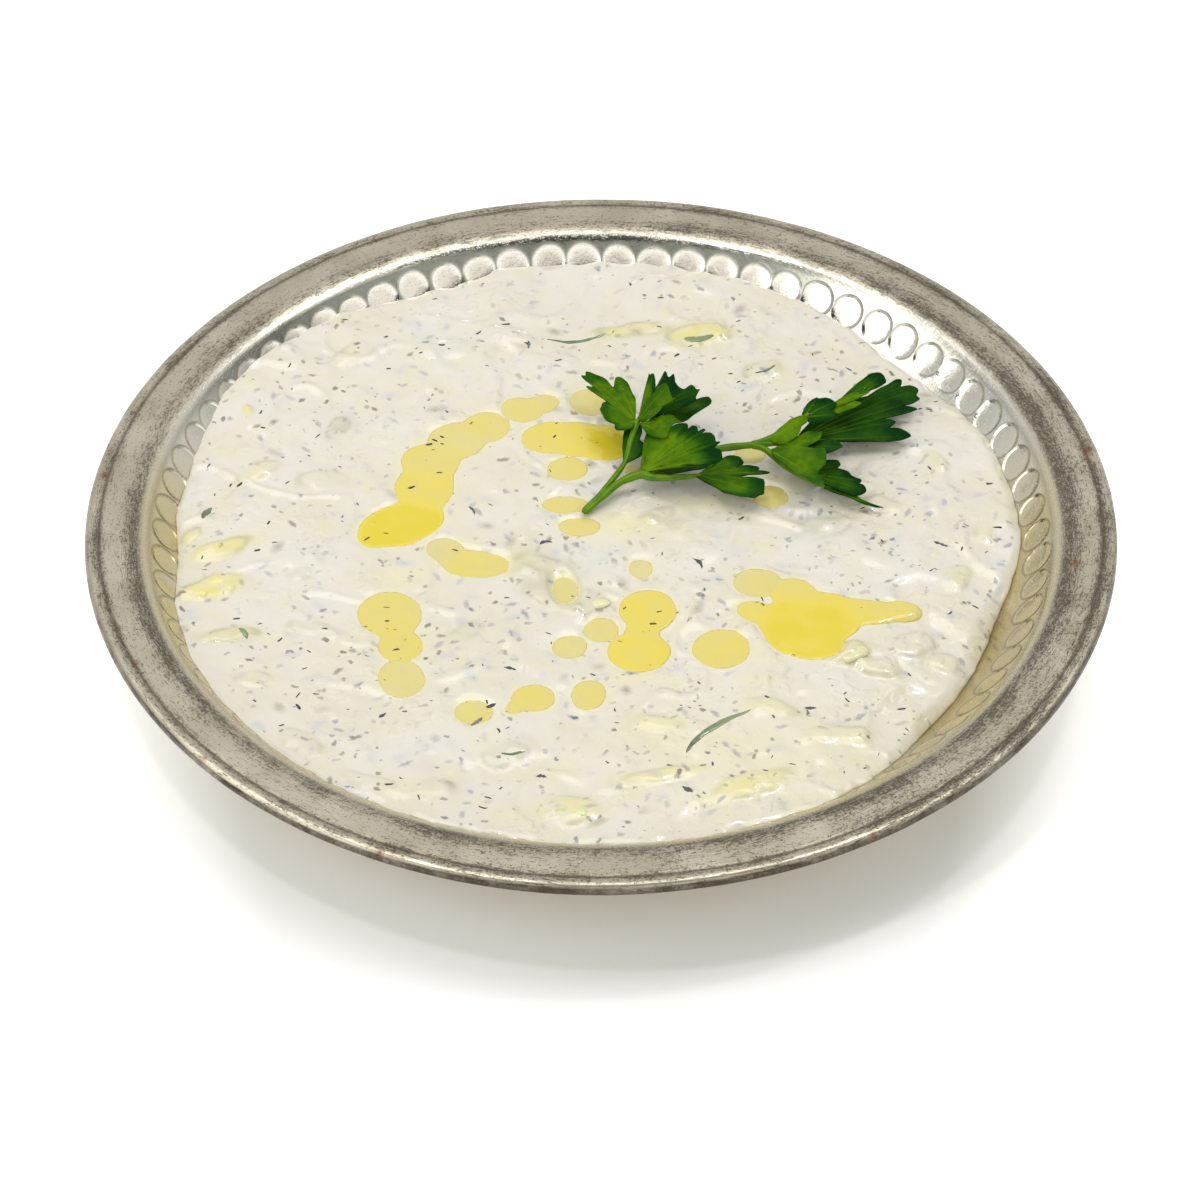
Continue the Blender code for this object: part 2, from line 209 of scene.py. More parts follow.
def thumb_marks(radius, azimuth):
    """How far the wall is beaten outwards: the deepest of the nearest marks, each a bowl depth·(1-ρ³) with ρ the
    distance from its middle in half-sizes, eased where it meets the plain wall."""
    nearest = np.round(azimuth * MARKS / TURN)
    deepest = np.zeros(np.broadcast(radius, azimuth).shape)
    for step in (-1, 0, 1):
        number = nearest + step
        across, along = mark_place(radius, azimuth, number)
        inside = 1.0 - np.minimum(np.hypot(across, along) ** 3, 4.0)
        deep = 1 + 0.4 * (fixed_chance(np.mod(number, MARKS), 4, 5) - 0.5)
        bowl = MARK_DEPTH * deep * (inside + np.sqrt(inside ** 2 + 0.004)) / 2
        deepest = np.maximum(deepest, bowl * smooth(-2.5, -0.5, inside))
    return deepest


def section_line(start, end, shares):
    """Rows (r, z) at the given shares of a straight stretch of the section."""
    start, end = np.array(start), np.array(end)
    return start + (end - start) * np.asarray(shares, float)[:, None]


def section_bend(middle, radius, start, end, steps, ends=True):
    """Rows (r, z) on an arc of the section, angles in degrees, with or without its two ends."""
    angles = np.radians(np.linspace(start, end, steps + 1))
    angles = angles if ends else angles[1:-1]
    return np.stack([middle[0] + radius * np.cos(angles), middle[1] + radius * np.sin(angles)], -1)


def dish_section():
    """The sheet's closed half-section from the axis over its upper face, round the bead and back underneath."""
    slope = math.degrees(WALL_ANGLE)
    fillet = section_bend(FILLET_MIDDLE, FILLET_RADIUS, -90, -90 + slope, 3)
    fold = section_bend(FOLD_MIDDLE, FOLD_RADIUS, 90 + slope, 90, 7)
    under_fold = section_bend(FOLD_MIDDLE, FOLD_RADIUS - SHEET, 90, 90 + slope, 4)
    under_fillet = section_bend(FILLET_MIDDLE, FILLET_RADIUS + SHEET, -90 + slope, -90, 3)
    groove = np.linspace(105.6, 108.3, 10)
    groove_drop = GROOVE_DEPTH * np.exp(-((groove - GROOVE_RADIUS) / GROOVE_WIDTH) ** 2)
    back = -180 - math.degrees(math.asin((DISH_HEIGHT - SHEET - BEAD_MIDDLE[1]) / BEAD_RADIUS))
    return np.concatenate([
        section_line((14.0, SHEET), fillet[0], [0, 0.6]),
        fillet,
        section_line(fillet[-1], fold[0], [0.3, 0.55, *np.linspace(0.66, 0.98, 20)]),
        fold,
        section_line(fold[-1], (105.6, DISH_HEIGHT), np.linspace(0.15, 0.9, 6)),
        np.stack([groove, DISH_HEIGHT - groove_drop], -1),
        section_bend(BEAD_MIDDLE, BEAD_RADIUS, 90, back, 15),
        section_line((105.0, DISH_HEIGHT - SHEET), under_fold[0], [0, 0.6]),
        under_fold,
        section_line(under_fold[-1], under_fillet[0], [*np.linspace(0.04, 0.36, 8), 0.6]),
        under_fillet,
        section_line(under_fillet[-1], (14.0, 0.0), [0.4, 1.0]),
    ])


def brim_unevenness(x, y, radius):
    """Height the beaten brim stands off its plane: broad and narrow noise, none on the wall."""
    uneven = 0.13 * noise(x, y, 27, 11) + 0.05 * noise(x, y, 9, 12) + 0.018 * noise(x, y, 3.2, 13)
    return uneven * smooth(95.5, 101.0, radius)


def corner_marks(section_radius, columns):
    """For each face corner, its place in the thumb mark that its face belongs to; far outside where the wall ends."""
    rows = len(section_radius)
    row, column = np.meshgrid(np.arange(rows - 1), np.arange(columns), indexing="ij")
    corner_row = np.stack([row, row + 1, row + 1, row], -1)
    corner_column = np.stack([column, column, column + 1, column + 1], -1)
    number = np.floor(column / MARK_COLUMNS + 0.5)[..., None]
    radius = np.asarray(section_radius)[corner_row]
    across, along = mark_place(radius, corner_column * TURN / columns, number)
    wall = (corner_row > 6) & (corner_row < 29)
    place = np.stack([across, along, fixed_chance(np.mod(number, MARKS) + 0 * radius, 9, 5)], -1)
    return np.where(wall[..., None], place, 3.0).reshape(-1, 3)


def make_dish(finish):
    """The section carried round the axis, beaten outwards at the marks. Its wear mark, heaviest in two bands, also
    holds painted shade under the brim and bead.
    """
    section = dish_section()
    columns = MARKS * MARK_COLUMNS
    radius, azimuth = np.meshgrid(section[:, 0], np.arange(columns) * TURN / columns, indexing="ij")
    height = np.broadcast_to(section[:, 1:], radius.shape)
    beaten = thumb_marks(radius, azimuth)
    out = radius + beaten * math.sin(WALL_ANGLE)
    x, y = out * np.cos(azimuth), out * np.sin(azimuth)
    z = height - beaten * math.cos(WALL_ANGLE) + brim_unevenness(x, y, radius)
    patchy = 0.5 + 0.5 * noise(x, y, 15, 21)
    sides = 0.45 + 0.68 * np.abs(np.cos(azimuth - 0.10)) ** 0.7 + 0.10 * np.cos(azimuth)
    inner_band = np.exp(-((radius - 99.6) / 2.6) ** 2) * sides * (0.5 + 0.7 * patchy)
    outer_band = np.exp(-((radius - 107.2) / 1.4) ** 2) * (0.35 + 0.65 * sides * patchy)
    # Painted shade on the underside of the brim and the lower side of the bead.
    below = smooth(24.4, 23.6, height) * smooth(97.5, 99.0, radius) * 0.5
    # Painted shade: the bead's lower outer side darkened, standing in for a dark reflection of the floor there.
    round_bead = np.arctan2(height - BEAD_MIDDLE[1], radius - BEAD_MIDDLE[0])
    painted_bead_underside_shade = smooth(1.00, 0.75, round_bead) * smooth(BEAD_MIDDLE[0], BEAD_MIDDLE[0] + 0.5, radius)
    # Darker towards the right and front right of the brim, in patches.
    general = 0.32 * np.maximum(np.cos(azimuth + 0.30), 0) + 0.10 * smooth(-0.2, -0.8, np.sin(azimuth))
    general = general * (0.75 + 0.5 * patchy) * smooth(97.5, 99.5, radius)
    wear_and_painted_shade = np.clip(np.maximum.reduce([inner_band, outer_band, below]) + general, 0, 1.6)
    rust = np.zeros_like(radius)
    for spot_azimuth, spot_radius, size in RUST_SPOTS:
        away = np.hypot((np.mod(azimuth - math.radians(spot_azimuth) + np.pi, TURN) - np.pi) * radius,
                        radius - spot_radius)
        rust = np.maximum(rust, np.exp(-(away / size) ** 2))
    upper = (np.arange(len(section)) < 50)[:, None] * 1.0
    wall = smooth(99.0, 96.5, radius)
    # Painted reflection: dark slate at the top of the wall and between the thumb marks at the back, where the wall
    # would reflect a dark part of the room, and a faint dark line along the wall's top elsewhere.
    behind = smooth(0.85, 1.15, azimuth) * smooth(2.85, 2.40, azimuth)
    foot = upper * (smooth(97.2, 96.4, radius) * behind + 0.4 * np.exp(-((radius - 96.4) / 0.6) ** 2) * (1 - behind))
    # Painted reflection: a yellow-olive tint on the wall except at the back, where the wall would reflect the dip and
    # its oil.
    painted_dip_reflection = smooth(99.0, 96.5, radius) * (1 - smooth(0.0, 0.40, np.sin(azimuth))) * (0.75 + 0.25 * noise(x, y, 9, 22))
    turned = np.stack([12 * np.cos(azimuth), 12 * np.sin(azimuth), radius], -1).reshape(-1, 3)
    quads, first, last = turned_faces(*radius.shape)
    fan_corners = np.full((first.size + last.size, 3), 3.0)
    marks = {mark: np.append(values, [0, 0]) for mark, values in (
        ("wear_and_painted_shade", wear_and_painted_shade), ("rust", rust), ("painted_dip_reflection", painted_dip_reflection), ("wall", wall), ("foot", foot), ("painted_bead_underside_shade", painted_bead_underside_shade),
        ("groove", np.exp(-((radius - GROOVE_RADIUS) / 0.4) ** 2) * upper))}
    marks["turned"] = np.concatenate([turned, [[0, 0, 0], [0, 0, 0]]])
    marks["thumb"] = np.concatenate([corner_marks(section[:, 0], columns), fan_corners])
    points = np.concatenate([np.stack([x, y, z], -1).reshape(-1, 3), [[0, 0, SHEET], [0, 0, 0]]])
    dish = make_piece("beaten_dish", points, (quads, first, last), [finish], marks)
    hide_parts("dish")
    return dish


RUST_SPOTS = [                # azimuth in degrees, radius and size in mm
    (172.4, 107.6, 0.9), (12.0, 107.3, 1.0), (10.5, 106.2, 0.6), (352.1, 101.4, 0.9), (300.0, 109.4, 0.6),
    (222.0, 108.9, 0.6), (75.0, 101.0, 0.5), (205.0, 106.4, 0.6), (246.0, 109.2, 0.6),
]


# ---------------------------------------------------------------- dip

DIP_LEVEL = 20.3
DIP_EDGE_RADIUS = 93.3
SMEAR = 0.5                   # thickness of dip that has climbed the wall
SHOULDER = 1.3                # how far in from its edge the dip reaches its level
SWELL_WIDTH = 14.0            # how far in from the edge the dip swells where the edge lies further out
SUNK = 0.12                   # how far the dip's edge and underside go into the sheet, so no gap shows
EDGE = [                      # azimuth in degrees and radius in mm of the dip's edge, read round the dish
    (0, 90.2), (10, 90.6), (22, 90.6), (30, 90.0), (36, 89.0), (45, 88.9), (52, 90.2), (60, 91.5), (70, 92.2),
    (80, 92.7), (95, 92.4), (105, 92.6), (112, 91.3), (120, 92.0), (130, 93.7), (144, 94.8), (152, 94.2), (160, 92.5),
    (167, 91.6), (175, 92.0), (182, 90.4), (190, 91.8), (198, 93.1), (206, 94.1), (225, 94.5), (270, 93.5),
    (300, 93.0), (306, 92.0), (312, 89.5), (318, 87.5), (325, 86.6), (335, 86.2), (343, 86.1), (350, 87.0), (355, 88.8),
]
WAVES = [                     # direction in degrees, wavelength in mm, height in mm, phase in radians
    (20.0, 74.0, 0.10, 0.4), (75.0, 53.0, 0.08, 2.1), (140.0, 39.0, 0.06, 4.0),
]
# Pieces under the dip's skin: x, y, half-length, half-width, turn in degrees, height, green tint, grey tint
SUNKEN = [
    (-81, -4, 6.0, 2.6, 20, 0.8, 0.75, 0.0), (-82, -16, 6.5, 3.0, 15, 1.0, 0.85, 0.0),
    (-78, -31, 5.5, 2.0, 8, 0.7, 0.5, 0.35), (-88, 1, 3.0, 2.0, 60, 0.5, 0.5, 0.0),
    (-11, -15, 10.0, 5.6, -52, 0.9, 0.25, 0.5), (-3.5, -21.5, 4.5, 3.0, 20, 1.1, 0.25, 0.4),
    (52, -37, 4.2, 3.0, 30, 1.0, 0.5, 0.25), (57.5, -40.5, 4.0, 2.6, -10, 1.0, 0.35, 0.1),
    (65, -33, 4.5, 3.4, 20, 0.9, 0.15, 0.1), (72, -37, 3.4, 2.6, 0, 0.9, 0.2, 0.1),
    (22, 66.5, 7.5, 3.6, 10, 1.0, 0.8, 0.1), (7, 68, 8.0, 2.0, 8, 0.6, 0.6, 0.1),
    (36, 54, 5.0, 3.0, 25, 0.8, 0.25, 0.3), (-6, -84, 6.5, 3.6, -5, 1.0, 0.45, 0.05),
    (-62, -64, 5.0, 2.4, -40, 0.7, 0.1, 0.25), (-20, -68, 4.6, 3.0, 15, 0.6, 0.05, 0.35),
    (30.5, -76.5, 8.5, 3.0, 28, 0.9, 0.55, 0.05), (12.5, -73.5, 8.5, 1.8, 11, 0.6, 0.5, 0.0),
    (49, -60.5, 6.5, 2.8, 12, 0.9, 0.3, 0.0), (35, -53, 6.0, 2.2, -15, 0.6, 0.35, 0.0),
    (12, 6, 3.5, 2.2, 30, 0.6, 0.05, 0.45), (-64, -12, 2.6, 1.8, 0, 0.4, 0.0, 0.3),
    (-57.5, 35, 2.2, 3.8, -15, 0.3, 0.0, 0.7), (-77, 40, 1.2, 2.0, 0, 0.3, 1.0, 0.0),
    (-48, -76, 6.0, 2.2, -25, 0.6, 0.15, 0.1), (-34, 61, 7.0, 3.0, 12, 0.7, 0.0, 0.1),
    (-20, 66, 6.0, 2.6, -20, 0.8, 0.0, 0.05), (-55, 60, 5.0, 2.4, 35, 0.6, 0.1, 0.1),
    (55, 40, 5.0, 2.4, -30, 0.6, 0.2, 0.1), (72, 24, 3.4, 2.2, -60, 0.6, 0.35, 0.1),
    (47, 3, 4.5, 2.4, 15, 0.5, 0.05, 0.25), (-60, 18, 5.5, 3.0, 10, 0.6, 0.15, 0.15),
    (-74, 20, 4.6, 2.4, 40, 0.6, 0.3, 0.0), (12, -58, 5.0, 2.2, -8, 0.5, 0.3, 0.0),
    (76, -12, 4.0, 2.2, 70, 0.6, 0.25, 0.05), (-72, -45, 4.0, 2.0, -20, 0.5, 0.25, 0.1),
    (-34, -78, 4.4, 2.4, 15, 0.6, 0.1, 0.15), (60, 10, 4.6, 2.2, -20, 0.5, 0.1, 0.2),
    (23, 44, 4.0, 2.0, 25, 0.4, 0.1, 0.15), (-28, -30, 4.2, 2.2, 30, 0.4, 0.1, 0.25),
    (-60, -30, 5.0, 2.0, -10, 0.5, 0.05, 0.3), (82, 2, 3.0, 1.8, 80, 0.5, 0.3, 0.1),
]
# Oil pools: each a list of ellipses (x, y, half-length, half-width, turn in degrees, depth of colour) that run
# together
POOLS = [
    [(-25, 35.5, 5.2, 4.8, 20, 0.40), (-31.5, 31, 6.0, 5.8, 0, 0.30), (-37, 24, 6.0, 6.0, 0, 0.50),
     (-38, 15.5, 6.2, 8.0, 0, 0.60), (-42.5, 3.6, 9.4, 6.4, 28, 1.0), (-48, -1, 3.4, 3.0, 0, 1.0)],
    [(-17.5, 41, 4.6, 4.0, 0, 0.35), (-12.8, 42.9, 3.5, 2.7, 10, 0.30)],
    [(-2.2, 43.2, 4.7, 4.6, 0, 0.30)],
    [(-11, 31.5, 6.0, 5.0, 0, 0.60), (-5.5, 31.2, 6.2, 5.4, 0, 0.65), (1.0, 29.9, 6.0, 5.6, 0, 0.95)],
    [(-7.3, 21.4, 4.3, 3.9, 0, 0.45)],
    [(-7.8, 9.7, 4.9, 2.8, 0, 0.35)],
    [(-4.6, 2.5, 4.5, 3.0, 0, 0.35)],
    [(-33.5, -4.6, 4.0, 3.4, -35, 0.15), (-26.7, -9.2, 7.4, 4.2, -4, 0.45)],
    [(-44.5, -25, 6.7, 6.9, 0, 0.45), (-42.0, -34.8, 4.7, 4.5, 0, 0.50)],
    [(-41.3, -44.8, 4.9, 5.8, 20, 0.25)],
    [(-26.3, -55, 4.2, 3.9, 0, 0.30)],
    [(-14, -50.5, 4.4, 4.0, 10, 0.45), (-17.7, -53.4, 2.2, 1.6, 45, 0.35)],
    [(-2.6, -49.5, 3.6, 4.5, -10, 0.35)],
    [(-6.5, -35, 3.7, 3.5, 0, 0.25)],
    [(0, -29.6, 3.7, 3.6, 0, 0.35)],
    [(-7.5, -17.5, 2.9, 4.5, 12, 0.25)],
    [(8.5, -11, 2.6, 3.1, 0, 0.15)],
    [(10, -23.7, 6.0, 6.0, 0, 0.65), (8.6, -30.2, 3.2, 3.4, 0, 0.65), (8, -36.5, 6.4, 5.9, 0, 0.70)],
    [(25.1, -35.4, 6.1, 5.8, 0, 0.50)],
    [(33.2, -15.2, 5.3, 4.6, 0, 0.30)],
    [(40.4, -17.6, 4.4, 3.9, 0, 0.55), (47.5, -21.0, 4.8, 2.4, -10, 0.60), (44, -27, 10.2, 7.2, 0, 0.95),
     (32.2, -24.0, 3.7, 3.0, -20, 0.60), (42, -33, 7.0, 5.2, -10, 0.90), (46, -34.4, 4.4, 3.8, 0, 0.90),
     (55, -23.8, 7.0, 3.6, -5, 0.60), (64, -23.2, 3.7, 2.8, 0, 0.45)],
    [(36.6, 12.4, 3.9, 3.8, 0, 0.35)],
    [(32.4, 26.2, 3.6, 3.2, 0, 0.30)],
    [(7, 21, 1.8, 1.5, 0, 0.3)],
]
POOL_BLEND = 2.2              # how far round their meeting two ellipses of a pool run together, in mm
# Oil that has sunk into the dip and only stains it, and painted shade in the same yellow: x, y, half-length,
# half-width, strength
OIL_STAINS_AND_PAINTED_SHADE = [
    (-43.5, -13, 5.0, 5.0, 0.35), (6, -44, 7.0, 3.4, 0.30), (32, -36, 5.0, 4.0, 0.30), (34.5, -3.5, 2.6, 2.2, 0.30),
    (18, -45, 8.0, 2.6, 0.22), (32, -45, 7.0, 2.4, 0.20), (-20, -10, 4.0, 4.0, 0.20), (-38, 20, 9.0, 12.0, 0.18),
    (-26, 36, 6.0, 6.0, 0.15), (44, -27, 12.0, 9.0, 0.2), (66, -22, 5.0, 3.0, 0.2), (10, -30, 8.0, 11.0, 0.2),
    (-44, -30, 8.0, 10.0, 0.2), (-5, 31, 12.0, 8.0, 0.2), (-2.5, 43, 6.0, 5.0, 0.2), (-42, -45, 6.0, 7.0, 0.2),
    # The last four are painted shade: three where the parsley's shadow falls on the dip, and a broad one at the front
    # right.
    (-26, -55, 6.0, 5.0, 0.2), (4, 4, 10.0, 4.5, 0.45), (22, 10, 10.0, 4.0, 0.30), (38, 17, 9.0, 4.0, 0.30), (28, -68, 30.0, 16.0, 0.24),
]


def oil_depth(x, y):
    """How far inside the nearest pool's outline a point lies, negative outside, and the colour's depth there. A pool
    is its ellipses joined by a smooth maximum (a+b+sqrt((a-b)²+blend²/4))/2, its outline wanders by a little noise,
    and its colour is the ellipses' own, weighted by how far inside each the point lies."""
    deepest = np.full(np.shape(x), -99.0)
    richness = np.zeros(np.shape(x))
    wander = 0.28 * noise(x, y, 4.6, 31) + 0.12 * noise(x, y, 2.4, 32)
    for ellipses in POOLS:
        together, weights, colours = None, 0.0, 0.0
        for cx, cy, half_length, half_width, turn, rich in ellipses:
            ratio = mound(x, y, (cx, cy), (half_length, half_width), turn)
            inside = (1.0 - ratio) * min(half_length, half_width)
            weight = np.exp(np.clip(inside, -20, 20) * 0.8)
            weights, colours = weights + weight, colours + weight * rich
            if together is None:
                together = inside
            else:
                together = (together + inside + np.sqrt((together - inside) ** 2 + POOL_BLEND ** 2 / 4)) / 2
        richness = np.where(together > deepest, colours / weights, richness)
        deepest = np.maximum(deepest, together)
    return deepest + wander, richness


def wall_height(radius, azimuth):
    """Height of the sheet's upper face over the wall, lower where a thumb mark is beaten into it."""
    plain = DISH_HEIGHT - (WALL_TOP_RADIUS - radius) * math.tan(WALL_ANGLE)
    return plain - thumb_marks(radius, azimuth) / math.cos(WALL_ANGLE)


def edge_bay(azimuth):
    """How far the dip's edge lies outside its usual radius, negative inside: straight between the listed places."""
    places, radii = zip(*EDGE)
    return np.interp(np.degrees(azimuth), places, radii, period=360.0) - DIP_EDGE_RADIUS


def edge_radius(azimuth):
    """Radius of the dip's edge: the listed one, made ragged by noise."""
    x, y = 90 * np.cos(azimuth), 90 * np.sin(azimuth)
    ragged = 0.35 * noise(x, y, 7.5, 41) + 0.22 * noise(x, y, 2.6, 42)
    return DIP_EDGE_RADIUS + edge_bay(azimuth) + ragged


def broad_waves(x, y):
    """The dip's level with its soft waves, as the solid has them."""
    level = np.full(np.shape(x), DIP_LEVEL)
    for direction, length, height, phase in WAVES:
        turn = math.radians(direction)
        level = level + height * np.sin(TURN * (x * math.cos(turn) + y * math.sin(turn)) / length + phase)
    return level


def bent(x, y):
    """A place pushed about by noise, which makes an ellipse's outline wander."""
    return x + 0.9 * noise(x, y, 4.4, 64), y + 0.9 * noise(x, y, 4.4, 65)


def dip_relief(x, y):
    """Height over the broad waves: noise from 20 mm down to 2 mm, ridges where one noise crosses zero, and a
    steep-sided mound over each sunken piece. The place is first pushed about by noise, so it looks stirred."""
    swirl_x, swirl_y = 3.0 * noise(x, y, 14, 57), 3.0 * noise(x, y, 14, 58)
    u, v = x + swirl_x, y + swirl_y
    rise = (0.36 * noise(u, v, 19, 51) + 0.34 * noise(u, v, 9.5, 52) + 0.26 * noise(u, v, 4.8, 53)
            + 0.13 * noise(u, v, 2.4, 54) + 0.45 * np.exp(-(noise(u, v, 11, 56) / 0.16) ** 2))
    bent_x, bent_y = bent(x, y)
    for cx, cy, half_length, half_width, turn, height, _, _ in SUNKEN:
        ratio = mound(bent_x, bent_y, (cx, cy), (half_length, half_width), turn)
        rise = rise + 1.15 * height * np.exp(-ratio ** 5) * (0.8 + 0.25 * noise(x, y, 2.6, 55))
    return rise


def dip_top(x, y):
    """Top of the dip: waves and relief, flat and a little sunken under the oil, with a rounded lip down to the wall.
    The lip is the wall plus depth·sqrt(1-(1-share)²), share running from 0 at the edge to 1 a shoulder's width in."""
    radius, azimuth = np.hypot(x, y), np.arctan2(y, x)
    depth, _ = oil_depth(x, y)
    under_oil = smooth(-1.6, 0.3, depth)
    level = broad_waves(x, y) + dip_relief(x, y) * (1 - 0.9 * under_oil) - 0.22 * smooth(0.0, 1.5, depth)
    wall = wall_height(radius, azimuth) - SUNK
    edge = edge_radius(azimuth)
    swell = np.exp(-(np.maximum(edge - radius, 0) / SWELL_WIDTH) ** 2)
    level = level + math.tan(WALL_ANGLE) * np.maximum(edge_bay(azimuth), 0.55 * edge_bay(azimuth)) * swell
    drop = np.maximum(level - wall_height(edge, azimuth), 0.0)
    share = np.clip((edge - radius) / (SHOULDER + 0.8 * drop), 0.0, 1.0)
    above = level - wall
    lip = (above + SMEAR + np.hypot(above - SMEAR, 0.5)) / 2
    return wall + lip * np.sqrt(np.maximum(1.0 - (1.0 - share) ** 2, 0.0))


def even_disc(count):
    """A square grid pressed evenly into a disc of radius 1: each point keeps its larger coordinate as its radius
    and takes its angle from the ratio of the two."""
    a, b = np.meshgrid(np.linspace(-1, 1, count), np.linspace(-1, 1, count), indexing="xy")
    wide = np.abs(a) > np.abs(b)
    larger, smaller = np.where(wide, a, b), np.where(wide, b, a)
    angle = (np.pi / 4) * smaller / np.where(larger == 0, 1.0, larger)
    x = larger * np.where(wide, np.cos(angle), np.sin(angle))
    y = larger * np.where(wide, np.sin(angle), np.cos(angle))
    return x, y


DIP_GRID = 272                # points along a side of the dip's middle grid
LIP_WIDTH = 4.5               # width of the ring of finer rows at the edge
HALOS = 300                   # soft bluish shades round herbs that lie under the surface


def halo_shade(x, y):
    """Strength of the soft shades round sunken herbs: a bell over each, places and sizes drawn once."""
    draw = np.random.default_rng(71)
    shade = np.zeros(np.shape(x))
    for _ in range(HALOS):
        radius, azimuth = 90 * math.sqrt(draw.random()), TURN * draw.random()
        size = (draw.uniform(0.9, 2.6), draw.uniform(0.6, 1.5))
        ratio = mound(x, y, (radius * math.cos(azimuth), radius * math.sin(azimuth)), size, draw.uniform(0, 180))
        shade = shade + draw.uniform(0.25, 1.0) * np.exp(-ratio ** 2)
    return np.clip(shade * (0.75 + 0.6 * noise(x, y, 1.5, 62)), 0, 1)


def make_dip(finish):
    """A grid over the middle, a ring of finer rows for the lip, and rings back down the wall and over the floor."""
    disc_x, disc_y = even_disc(DIP_GRID)
    azimuth = np.arctan2(disc_y, disc_x)
    reach = np.hypot(disc_x, disc_y) * (edge_radius(azimuth) - LIP_WIDTH)
    middle_x, middle_y = reach * np.cos(azimuth), reach * np.sin(azimuth)
    number = np.arange(DIP_GRID ** 2).reshape(DIP_GRID, DIP_GRID)
    loop = np.concatenate([number[:-1, -1], number[-1, :0:-1], number[:0:-1, 0], number[0, :-1]])
    loop_azimuth = azimuth.ravel()[loop]
    edge = edge_radius(loop_azimuth)
    inset = LIP_WIDTH * (1 - np.linspace(0, 1, 13)[1:]) ** 1.7
    ring_radius = edge[None, :] - inset[:, None]
    x = np.concatenate([middle_x.ravel(), (ring_radius * np.cos(loop_azimuth)).ravel()])
    y = np.concatenate([middle_y.ravel(), (ring_radius * np.sin(loop_azimuth)).ravel()])
    top = np.stack([x, y, dip_top(x, y)], -1)
    under = []
    for share in (0.25, 0.6, 1.0):
        radius = edge + (74.4 - edge) * share
        wall = wall_height(radius, loop_azimuth) - SUNK
        under.append(np.stack([radius * np.cos(loop_azimuth), radius * np.sin(loop_azimuth), wall], -1))
    for radius, height in ((68.9, SHEET - SUNK), (20.0, SHEET - SUNK)):
        under.append(np.stack([radius * np.cos(loop_azimuth), radius * np.sin(loop_azimuth),
                               np.full(len(loop), height)], -1))
    points = np.concatenate([top, *under, [[0, 0, SHEET - SUNK]]])
    first_ring = DIP_GRID ** 2
    ring_count = len(inset) + len(under)
    rings = grid_faces(ring_count, len(loop), True) + first_ring
    after = np.roll(np.arange(len(loop)), -1)
    seam = np.stack([loop, first_ring + np.arange(len(loop)), first_ring + after, loop[after]], -1)
    last = first_ring + (ring_count - 1) * len(loop) + np.arange(len(loop))
    x, y = points[:, 0], points[:, 1]
    green, grey, rim, oil_stain_and_painted_shade = (np.zeros(len(x)) for _ in range(4))
    bent_x, bent_y = bent(x, y)
    for cx, cy, half_length, half_width, turn, _, green_tint, grey_tint in SUNKEN:
        ratio = mound(bent_x, bent_y, (cx, cy), (half_length, half_width), turn)
        cover = np.exp(-(0.85 * ratio) ** 4) * (0.75 + 0.35 * noise(x, y, 2.2, 61))
        ring = np.exp(-((ratio - 0.98) * half_width / 0.42) ** 2) * smooth(-0.5, 0.6, noise(x, y, 3.5, 63))
        rim = np.maximum(rim, (0.35 + green_tint + grey_tint) * ring)
        green, grey = np.maximum(green, green_tint * cover), np.maximum(grey, grey_tint * cover)
    # Oil stains, and painted shade along the parsley and at the front right.
    for cx, cy, half_length, half_width, strength in OIL_STAINS_AND_PAINTED_SHADE:
        oil_stain_and_painted_shade = np.maximum(oil_stain_and_painted_shade, strength * np.exp(-mound(x, y, (cx, cy), (half_length, half_width), 0) ** 2))
    depth, _ = oil_depth(x, y)
    oil_stain_and_painted_shade = np.maximum(oil_stain_and_painted_shade, 0.55 * smooth(-1.3, 0.4, depth))
    marks = {"green": green, "grey": grey, "rim": np.clip(rim, 0, 1), "oil_stain_and_painted_shade": oil_stain_and_painted_shade, "halo": halo_shade(x, y)}
    face_sets = [grid_faces(DIP_GRID, DIP_GRID, False)[:, ::-1], seam, rings, fan_faces(last[::-1], len(points) - 1)]
    dip = make_piece("herbed_dip", points, face_sets, [finish], marks)
    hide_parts("dip")
    return dip


# ---------------------------------------------------------------- oil

OIL_STEP = 0.38               # spacing of the oil's grid
OIL_RISE = 0.16               # how far a pool's flat top stands over the dip's level
OIL_BED = 0.35                # how far the underside goes into the dip


def oil_top(x, y):
    """Top of the oil: the dip's own height at the outline, rising as 1-exp(-depth/0.6) to a flat level inside."""
    depth, _ = oil_depth(x, y)
    share = 1.0 - np.exp(-np.maximum(depth, 0.0) / 0.6)
    return dip_top(x, y) * (1 - share) + (broad_waves(x, y) + OIL_RISE) * share


